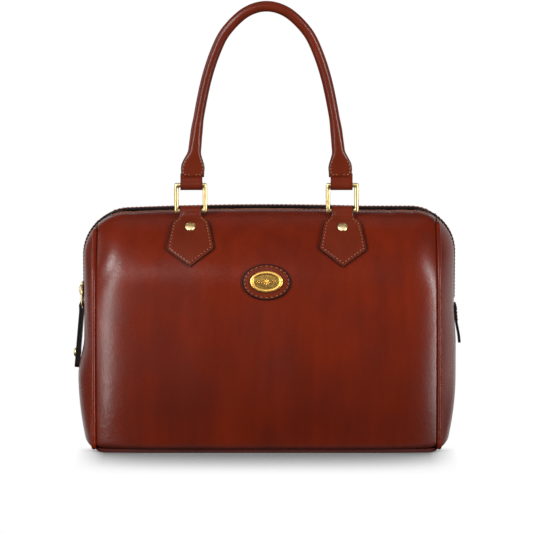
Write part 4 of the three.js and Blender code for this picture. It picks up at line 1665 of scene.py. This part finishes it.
class BAG_OT_chapes(bpy.types.Operator):
    """Makes the four stitched chapes, each looped round the lower bar of its ring, and their rivets."""

    bl_idname = "bag.chapes"
    bl_label = "Chapes"

    flat_from = 0.010
    tip_trim = 0.0002
    sunk = 0.002
    flat_pull = 0.0035
    bar_pull = 0.002
    leave_angle = math.radians(70)
    wrap_angle = math.radians(225)
    strap_edge = (0.0085, 0.0102)
    crown = 0.0003
    crown_run = 0.006
    groove = 0.00028
    groove_width = 0.0008
    columns = 46
    flat_rows = 50
    wall_share = 0.95
    rounding = 0.0009
    painted = 0.0006
    rivet_lift = 0.0003

    def stations(self, radius, lift):
        """The places along a chape from its tip to the end of its loop: on the panel as (distance down,
        height), and round the bar as (None, angle)."""
        tip = CHAPE_CORNERS[-1].down - self.tip_trim
        places = [(tip + (self.flat_from - tip) * share, lift) for share in shares(64)[:-1]]
        centre = lift + radius - self.sunk
        start = Vector((self.flat_from, lift))
        end = Vector((radius * math.sin(self.leave_angle), centre + radius * math.cos(self.leave_angle)))
        first = start - Vector((self.flat_pull, 0.0))
        second = end + Vector((math.cos(self.leave_angle), -math.sin(self.leave_angle))) * self.bar_pull
        for t in shares(17)[:-1]:
            rising = start * (1 - t) ** 3 + first * (3 * t * (1 - t) ** 2)
            places.append(tuple(rising + second * (3 * t * t * (1 - t)) + end * t**3))
        return places + [(None, self.leave_angle - self.wrap_angle * share) for share in shares(28)]

    def execute(self, context):
        sizes = context.scene.bag_body
        fittings = context.scene.bag_fittings
        thread = context.scene.bag_thread
        body = BagBody(sizes)
        lift = sizes.gap + sizes.leather
        radius = fittings.strap_radius
        stations = self.stations(radius, lift)

        def to_edge(u, v):
            down, _ = row_at(stations, v)
            return edge_way(u, fittings.strap_half if down is None else chape_half(down))

        def edge(u, v):
            return TRIM_WEAR * nearness(to_edge(u, v), TRIM_WEAR_REACH)

        def paint(u, v):
            return int(to_edge(u, v) < self.painted)

        for side_name, side in SIDES.items():
            hold = fittings.front_chape if side < 0 else fittings.back_chape
            for end_name, end in ENDS.items():
                centre_x = end * fittings.ring_x
                bar = PIVOTS[f"{side_name}_ring_swing"] + X_AXIS * centre_x
                _, normal, lower = body.on_panel(centre_x, hold, side)

                def on_chape(across, down, height):
                    over = lift + (height - lift) * (1 - smooth_step(abs(across), *self.strap_edge))
                    way = chape_half(down) - abs(across)
                    over += self.crown * smooth_step(way, 0.0, self.crown_run)
                    over -= self.groove * math.exp(-(((way - thread.inset) / self.groove_width) ** 2))
                    return body.on_panel(centre_x + across, hold + down, side, over)

                def place(u, v):
                    down, height = row_at(stations, v)
                    if down is None:
                        out = normal * (radius * math.cos(height)) + lower * (radius * math.sin(height))
                        return bar + out + X_AXIS * (fittings.strap_half * spread(u))
                    return on_chape(chape_half(down) * spread(u), down, height)[0]

                mesh = bent_sheet(self.columns, len(stations) - 1, place, edge, paint)
                face_along(mesh, normal, self.columns * self.flat_rows)
                stem = f"{side_name}_{end_name}"
                node = f"{stem}_chape"
                made = {"node": node, "wall": sizes.leather * self.wall_share, "rounding": self.rounding}
                add_sheet(f"{node}_leather", mesh, "bag", "trim_leather", "trim_hide", "edge_paint", **made)
                self.sew_chape(f"{node}_stitches", on_chape, thread, lift)
                down = hold + fittings.chape_rivet
                point, upright, fall = body.on_panel(centre_x, down, side, lift + self.rivet_lift)
                head = axes_matrix(fall.cross(upright), fall, upright, point)
                domed = fittings.rivet_radius, fittings.rivet_height
                add_rivet(f"{stem}_rivet_head", head, *domed, node=f"{stem}_rivet")
        return {"FINISHED"}

    def sew_chape(self, name, on_chape, thread, lift):
        """The stitching round a chape, from shoulder to shoulder by its tip."""
        right = [Vector((corner.half, corner.down, 0)) for corner in CHAPE_CORNERS]
        left = [Vector((-point.x, point.y, 0)) for point in right[-2::-1]]
        places = []
        for spot, along in even_steps(inset_line(right + left, thread.inset), thread.pitch):
            point, normal, lower = on_chape(spot.x, spot.y, lift)
            places.append((point, X_AXIS * along.x + lower * along.y, normal))
        add_stitches(name, places, thread.pitch, "bag", "trim_leather")


class BAG_OT_rings(bpy.types.Operator):
    """Makes the four squared metal rings."""

    bl_idname = "bag.rings"
    bl_label = "Rings"

    around = 24
    square = 2.4
    corner_gain = 0.3

    def execute(self, context):
        fittings = context.scene.bag_fittings
        wire = fittings.ring_wire
        for side in SIDES:
            place = ring_frame(side)
            height = (PIVOTS[f"{side}_handle_swing"] - PIVOTS[f"{side}_ring_swing"]).length
            for end_name, end in ENDS.items():
                rails = []
                for share in shares(self.around):
                    angle = 2 * math.pi * share
                    out = wire * round_power(math.cos(angle), self.square)
                    deep = wire * round_power(math.sin(angle), self.square)
                    shift = Vector((end * fittings.ring_x, deep, -out))
                    corner = fittings.ring_corner + self.corner_gain * out
                    rail = rounded_frame(fittings.ring_half + out, height + 2 * out, corner)
                    rails.append([place @ (point + shift) for point in rail])
                count = len(rails[0])

                def on_ring(u, v):
                    return row_at(rails, u)[round(v * count) % count]

                mesh = close_mesh(bent_sheet(self.around, count, on_ring))
                stem = f"{side}_{end_name}_ring"
                add_piece(f"{stem}_metal", mesh, f"{side}_rings", "gold", "polished_gold", node=stem)
        return {"FINISHED"}


def handle_section(rise):
    """A handle's section at a height above its ring."""
    if rise <= HANDLE_SECTIONS[0].rise:
        return HANDLE_SECTIONS[0]
    for lower, upper in zip(HANDLE_SECTIONS, HANDLE_SECTIONS[1:]):
        if rise < upper.rise:
            share = smooth_step(rise, lower.rise, upper.rise)
            return HandleSection(*(a + (b - a) * share for a, b in zip(lower, upper)))
    return HANDLE_SECTIONS[-1]


class BAG_OT_handle_loops(bpy.types.Operator):
    """Makes the short straps that loop round the rings' upper bars."""

    bl_idname = "bag.handle_loops"
    bl_label = "Handle loops"

    top = 0.0100
    half_thickness = 0.0023
    waist_levels = (0.0005, 0.0062)
    inwards = 0.0007
    wall = 0.0019
    rounding = 0.0005
    columns = 22
    front_rows = 12

    def execute(self, context):
        fittings = context.scene.bag_fittings
        radius = fittings.strap_radius
        front = []
        for share in shares(20):
            rise = self.top * (1 - share)
            waist = smooth_step(rise, *self.waist_levels)
            front.append((-(radius + (self.half_thickness - radius) * waist), rise))
        around = []
        for share in shares(24)[1:-1]:
            angle = math.pi * share
            around.append((-radius * math.cos(angle), -radius * math.sin(angle)))
        line = front + around + [(-depth, rise) for depth, rise in front[::-1]]

        def edge(u, v):
            return TRIM_WEAR * nearness(edge_way(u, fittings.strap_half), TRIM_WEAR_REACH)

        for side in SIDES:
            frame_place = handle_frame(side, fittings)
            forwards = frame_place.to_3x3() @ -Y_AXIS
            for end_name, end in ENDS.items():
                centre_x = end * (fittings.ring_x - self.inwards)

                def place(u, v):
                    depth, rise = row_at(line, v)
                    return frame_place @ Vector((centre_x + fittings.strap_half * spread(u), depth, rise))

                mesh = bent_sheet(self.columns, len(line) - 1, place, edge)
                face_along(mesh, forwards, self.columns * self.front_rows)
                stem = f"{side}_{end_name}_handle_loop"
                body = f"{side}_handle"
                made = {"node": stem, "wall": self.wall, "rounding": self.rounding}
                add_sheet(f"{stem}_strap", mesh, body, "trim_leather", "trim_hide", "edge_paint", **made)
        return {"FINISHED"}


class BAG_OT_handles(bpy.types.Operator):
    """Makes the rolled handles, with flat sewn ends whose edges are painted."""

    bl_idname = "bag.handles"
    bl_label = "Handles"

    spacing = 0.0022
    sides = 32
    painted_to = 0.026
    painted_side = 0.8
    sewn = (0.0205, 0.0098)
    inset = 0.0022
    curl = 0.0045
    curl_drop = 0.0003
    closer = 0.9

    def execute(self, context):
        fittings = context.scene.bag_fittings
        thread = context.scene.bag_thread
        left = [Vector((-x, 0, rise)) for rise, x in HANDLE_PATH]
        right = [Vector((x, 0, rise)) for rise, x in HANDLE_PATH[-2::-1]]
        line = [point for point, _ in even_steps(smooth_line(left + right, 12), self.spacing)]
        last = len(line) - 1

        def section(number):
            size = handle_section(line[number].z)
            return size.deep, size.wide, size.square

        def paint(u, v):
            number = round(v * (last + 2 * CAP_RINGS)) - CAP_RINGS
            low = line[min(max(number, 0), last)].z < self.painted_to
            return int(low and abs(math.sin(2 * math.pi * u)) > self.painted_side)

        for side in SIDES:
            place = handle_frame(side, fittings)
            mesh = swept_tube(line, self.sides, section, Y_AXIS, paint=paint)
            bmesh.ops.transform(mesh, matrix=place, verts=mesh.verts)
            finishes = "trim_hide", "edge_paint"
            stem = f"{side}_handle"
            add_piece(f"{stem}_roll", mesh, stem, "trim_leather", *finishes, node=stem)
            places = []
            for end in ENDS.values():
                for face in SIDES.values():
                    for edge_side in (-1, 1):
                        places += self.row(line, end, face, edge_side, thread, place)
            add_stitches(f"{stem}_stitches", places, thread.pitch, stem, "trim_leather")
        return {"FINISHED"}

    def row(self, line, end, face, edge_side, thread, place):
        """A row of stitches down one edge of a flat end, which turns in at the corner."""

        def on_face(offset, rise):
            size = handle_section(rise)
            middle = min(line, key=lambda point: abs(point.z - rise) + (point.x * end < 0))
            reach = min(1.0, abs(offset) / size.wide)
            depth = size.deep * (1 - reach**size.square) ** (1 / size.square)
            return Vector((middle.x + offset, face * depth, rise))

        start, stop = self.sewn
        points = []
        for share in shares(12):
            rise = start + (stop - start) * share
            points.append(on_face(edge_side * (handle_section(rise).wide - self.inset), rise))
        corner = handle_section(stop).wide - self.inset
        for share in shares(4)[1:]:
            points.append(on_face(edge_side * (corner - self.curl * share), stop - self.curl_drop))
        turn_frame = place.to_3x3()
        normal = turn_frame @ (Y_AXIS * face)
        places = []
        for point, along in even_steps(points, thread.pitch * self.closer):
            places.append((place @ point, turn_frame @ along, normal))
        return places


# Stage


class Softbox(NamedTuple):
    """A soft light: its direction from the bag in degrees (to the right of the camera, and up), its distance
    and size in metres, and its brightness."""

    name: str
    right: float
    up: float
    distance: float
    width: float
    height: float
    brightness: float


SOFTBOXES = (
    Softbox("left_strip", -36, 15, 1.9, 0.20, 1.7, 24.0),
    Softbox("left_upper", -52, 36, 1.9, 0.22, 0.3, 60.0),
    Softbox("left_glow", -29, 18, 2.0, 0.20, 1.2, 3.0),
    Softbox("front_top", -17, 30, 2.0, 0.8, 0.2, 5.0),
    Softbox("right_strip", 50, 12, 1.9, 0.08, 1.6, 90.0),
    Softbox("left_side", -100, 14, 2.0, 1.2, 1.3, 1.9),
    Softbox("right_side", 132, 4, 2.0, 1.2, 1.3, 0.6),
    Softbox("overhead", 180, 78, 1.6, 1.8, 1.1, 0.25),
    Softbox("backdrop", 180, 0, 2.2, 2.4, 1.7, 0.7),
)
GOLD_LIGHT = Softbox("gold_light", 0, 45, 2.0, 2.5, 2.0, 0.9)
GOLD_FINISHES = ("polished_gold", "plate_gold", "matt_gold")
WORLD_LIGHT = 0.07
WHITE = (1, 1, 1, 1)
# The floor's painted shadow: how far it reaches, how dark it gets, and where in front of the bag it lies
FLOOR_SHADE_REACH = 0.085
FLOOR_SHADE_POWER = 2.9
FLOOR_OPEN = 0.965
FLOOR_SHADE_DEPTH = (-0.060, -0.075)
FLOOR_SHADE_WIDTH = (0.140, 0.164)


class BAG_OT_stage(bpy.types.Operator):
    """Makes the white floor, the soft lights and the camera."""

    bl_idname = "bag.stage"
    bl_label = "Stage"

    def execute(self, context):
        scene = context.scene
        sizes = scene.bag_stage
        target = Vector((0, 0, sizes.target_z))
        self.add_camera(scene, sizes, target)
        for box in SOFTBOXES:
            self.add_light(scene, box, target)
        fittings = bpy.data.collections.new("gold_pieces")
        for piece in scene.objects:
            if piece.type == "MESH" and any(name in piece.data.materials for name in GOLD_FINISHES):
                fittings.objects.link(piece)
        self.add_light(scene, GOLD_LIGHT, target).light_linking.receiver_collection = fittings
        self.add_floor(scene, sizes.floor)
        self.add_world(scene)
        scene.view_settings.view_transform = "Standard"
        return {"FINISHED"}

    def add_camera(self, scene, sizes, target):
        """The camera, which looks down a little at the bag's front."""
        back = Vector((0, -math.cos(sizes.pitch), math.sin(sizes.pitch)))
        lens = bpy.data.cameras.new("camera")
        lens.lens = sizes.lens
        lens.clip_end = 100
        camera = bpy.data.objects.new("camera", lens)
        camera.matrix_world = axes_matrix(X_AXIS, back.cross(X_AXIS), back, target + back * sizes.distance)
        scene.collection.objects.link(camera)
        scene.camera = camera

    def add_light(self, scene, box, target):
        """One soft light, turned to the bag."""
        right, up = math.radians(box.right), math.radians(box.up)
        way = Vector((math.sin(right) * math.cos(up), -math.cos(right) * math.cos(up), math.sin(up)))
        lamp = bpy.data.lights.new(box.name, "AREA")
        lamp.shape = "RECTANGLE"
        lamp.size = box.width
        lamp.size_y = box.height
        lamp.energy = box.brightness * math.pi * box.width * box.height
        light = bpy.data.objects.new(box.name, lamp)
        facing = way.to_track_quat("Z", "Y").to_matrix().to_4x4()
        light.matrix_world = Matrix.Translation(target + way * box.distance) @ facing
        light.visible_camera = False
        scene.collection.objects.link(light)
        return light

    def add_floor(self, scene, half):
        """A white floor that only the camera sees, with a painted shadow close to the bag's front."""
        mesh = bmesh.new()
        bmesh.ops.create_grid(mesh, x_segments=4, y_segments=4, size=half)
        data = bpy.data.meshes.new("floor")
        mesh.to_mesh(data)
        mesh.free()
        data.materials.append(self.floor_finish())
        floor = bpy.data.objects.new("floor", data)
        floor.visible_diffuse = False
        floor.visible_glossy = False
        floor.visible_transmission = False
        floor.visible_shadow = False
        scene.collection.objects.link(floor)

    def floor_finish(self):
        """White that gives its own light, with a painted shadow where the bag's front stands over it."""
        material, tree, shader = new_material("floor")
        near = add_node(tree, "ShaderNodeAmbientOcclusion", {"Distance": FLOOR_SHADE_REACH}, samples=16)
        open_sky = map_range(tree, near.outputs["AO"], (0.0, FLOOR_OPEN), (0.0, 1.0))
        shade = calculate(tree, "POWER", open_sky, FLOOR_SHADE_POWER)
        place = add_node(tree, "ShaderNodeTexCoord").outputs["Object"]
        parts = add_node(tree, "ShaderNodeSeparateXYZ", {0: place}).outputs
        in_front = map_range(tree, parts["Y"], FLOOR_SHADE_DEPTH, (0.0, 1.0))
        sideways = add_node(tree, "ShaderNodeMath", {0: parts["X"]}, operation="ABSOLUTE").outputs[0]
        under = map_range(tree, sideways, FLOOR_SHADE_WIDTH, (1.0, 0.0))
        tone = mix_colour(tree, calculate(tree, "MULTIPLY", in_front, under), WHITE, shade)
        shader.inputs["Base Color"].default_value = (0, 0, 0, 1)
        shader.inputs["Specular IOR Level"].default_value = 0.0
        shader.inputs["Emission Strength"].default_value = 1.0
        tree.links.new(tone, shader.inputs["Emission Color"])
        return material

    def add_world(self, scene):
        """White where the camera looks past the bag, and a dim fill light."""
        world = bpy.data.worlds.new("studio")
        world.use_nodes = True
        tree = world.node_tree
        tree.nodes.clear()
        fill = add_node(tree, "ShaderNodeBackground", {"Color": WHITE, "Strength": WORLD_LIGHT})
        plain = add_node(tree, "ShaderNodeBackground", {"Color": WHITE, "Strength": 1.0})
        seen = add_node(tree, "ShaderNodeLightPath").outputs["Is Camera Ray"]
        mixed = add_node(tree, "ShaderNodeMixShader", {0: seen, 1: fill.outputs[0], 2: plain.outputs[0]})
        add_node(tree, "ShaderNodeOutputWorld", {"Surface": mixed.outputs[0]})
        scene.world = world


# Add-on

OPERATORS = (
    BAG_OT_panels,
    BAG_OT_gussets,
    BAG_OT_base,
    BAG_OT_piping,
    BAG_OT_zip,
    BAG_OT_slider,
    BAG_OT_puller,
    BAG_OT_end_tab,
    BAG_OT_badge,
    BAG_OT_chapes,
    BAG_OT_rings,
    BAG_OT_handle_loops,
    BAG_OT_handles,
    BAG_OT_stage,
)
SETTINGS = {
    "bag_body": BagBodySizes,
    "bag_fittings": BagFittingSizes,
    "bag_thread": BagThreadSizes,
    "bag_colours": BagColours,
    "bag_stage": BagStageSizes,
}


class BAG_PT_panel(bpy.types.Panel):
    """Lists the steps that build the bag."""

    bl_idname = "BAG_PT_panel"
    bl_label = "Bowling bag"
    bl_space_type = "VIEW_3D"
    bl_region_type = "UI"
    bl_category = "Bag"

    def draw(self, context):
        for operator in OPERATORS:
            self.layout.operator(operator.bl_idname)
        for name in SETTINGS:
            settings = getattr(context.scene, name)
            column = self.layout.column()
            for key in settings.__annotations__:
                column.prop(settings, key)


def register():
    """Registers the settings, the operators and the panel."""
    for name, group in SETTINGS.items():
        bpy.utils.register_class(group)
        setattr(bpy.types.Scene, name, PointerProperty(type=group))
    for kind in (*OPERATORS, BAG_PT_panel):
        bpy.utils.register_class(kind)


def unregister():
    """Undoes what register did."""
    for kind in (BAG_PT_panel, *reversed(OPERATORS)):
        bpy.utils.unregister_class(kind)
    for name, group in reversed(SETTINGS.items()):
        delattr(bpy.types.Scene, name)
        bpy.utils.unregister_class(group)


def main():
    """Builds the bag and its stage."""
    register()
    for operator in OPERATORS:
        group, name = operator.bl_idname.split(".")
        getattr(getattr(bpy.ops, group), name)()
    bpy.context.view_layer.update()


if __name__ == "__main__":
    main()
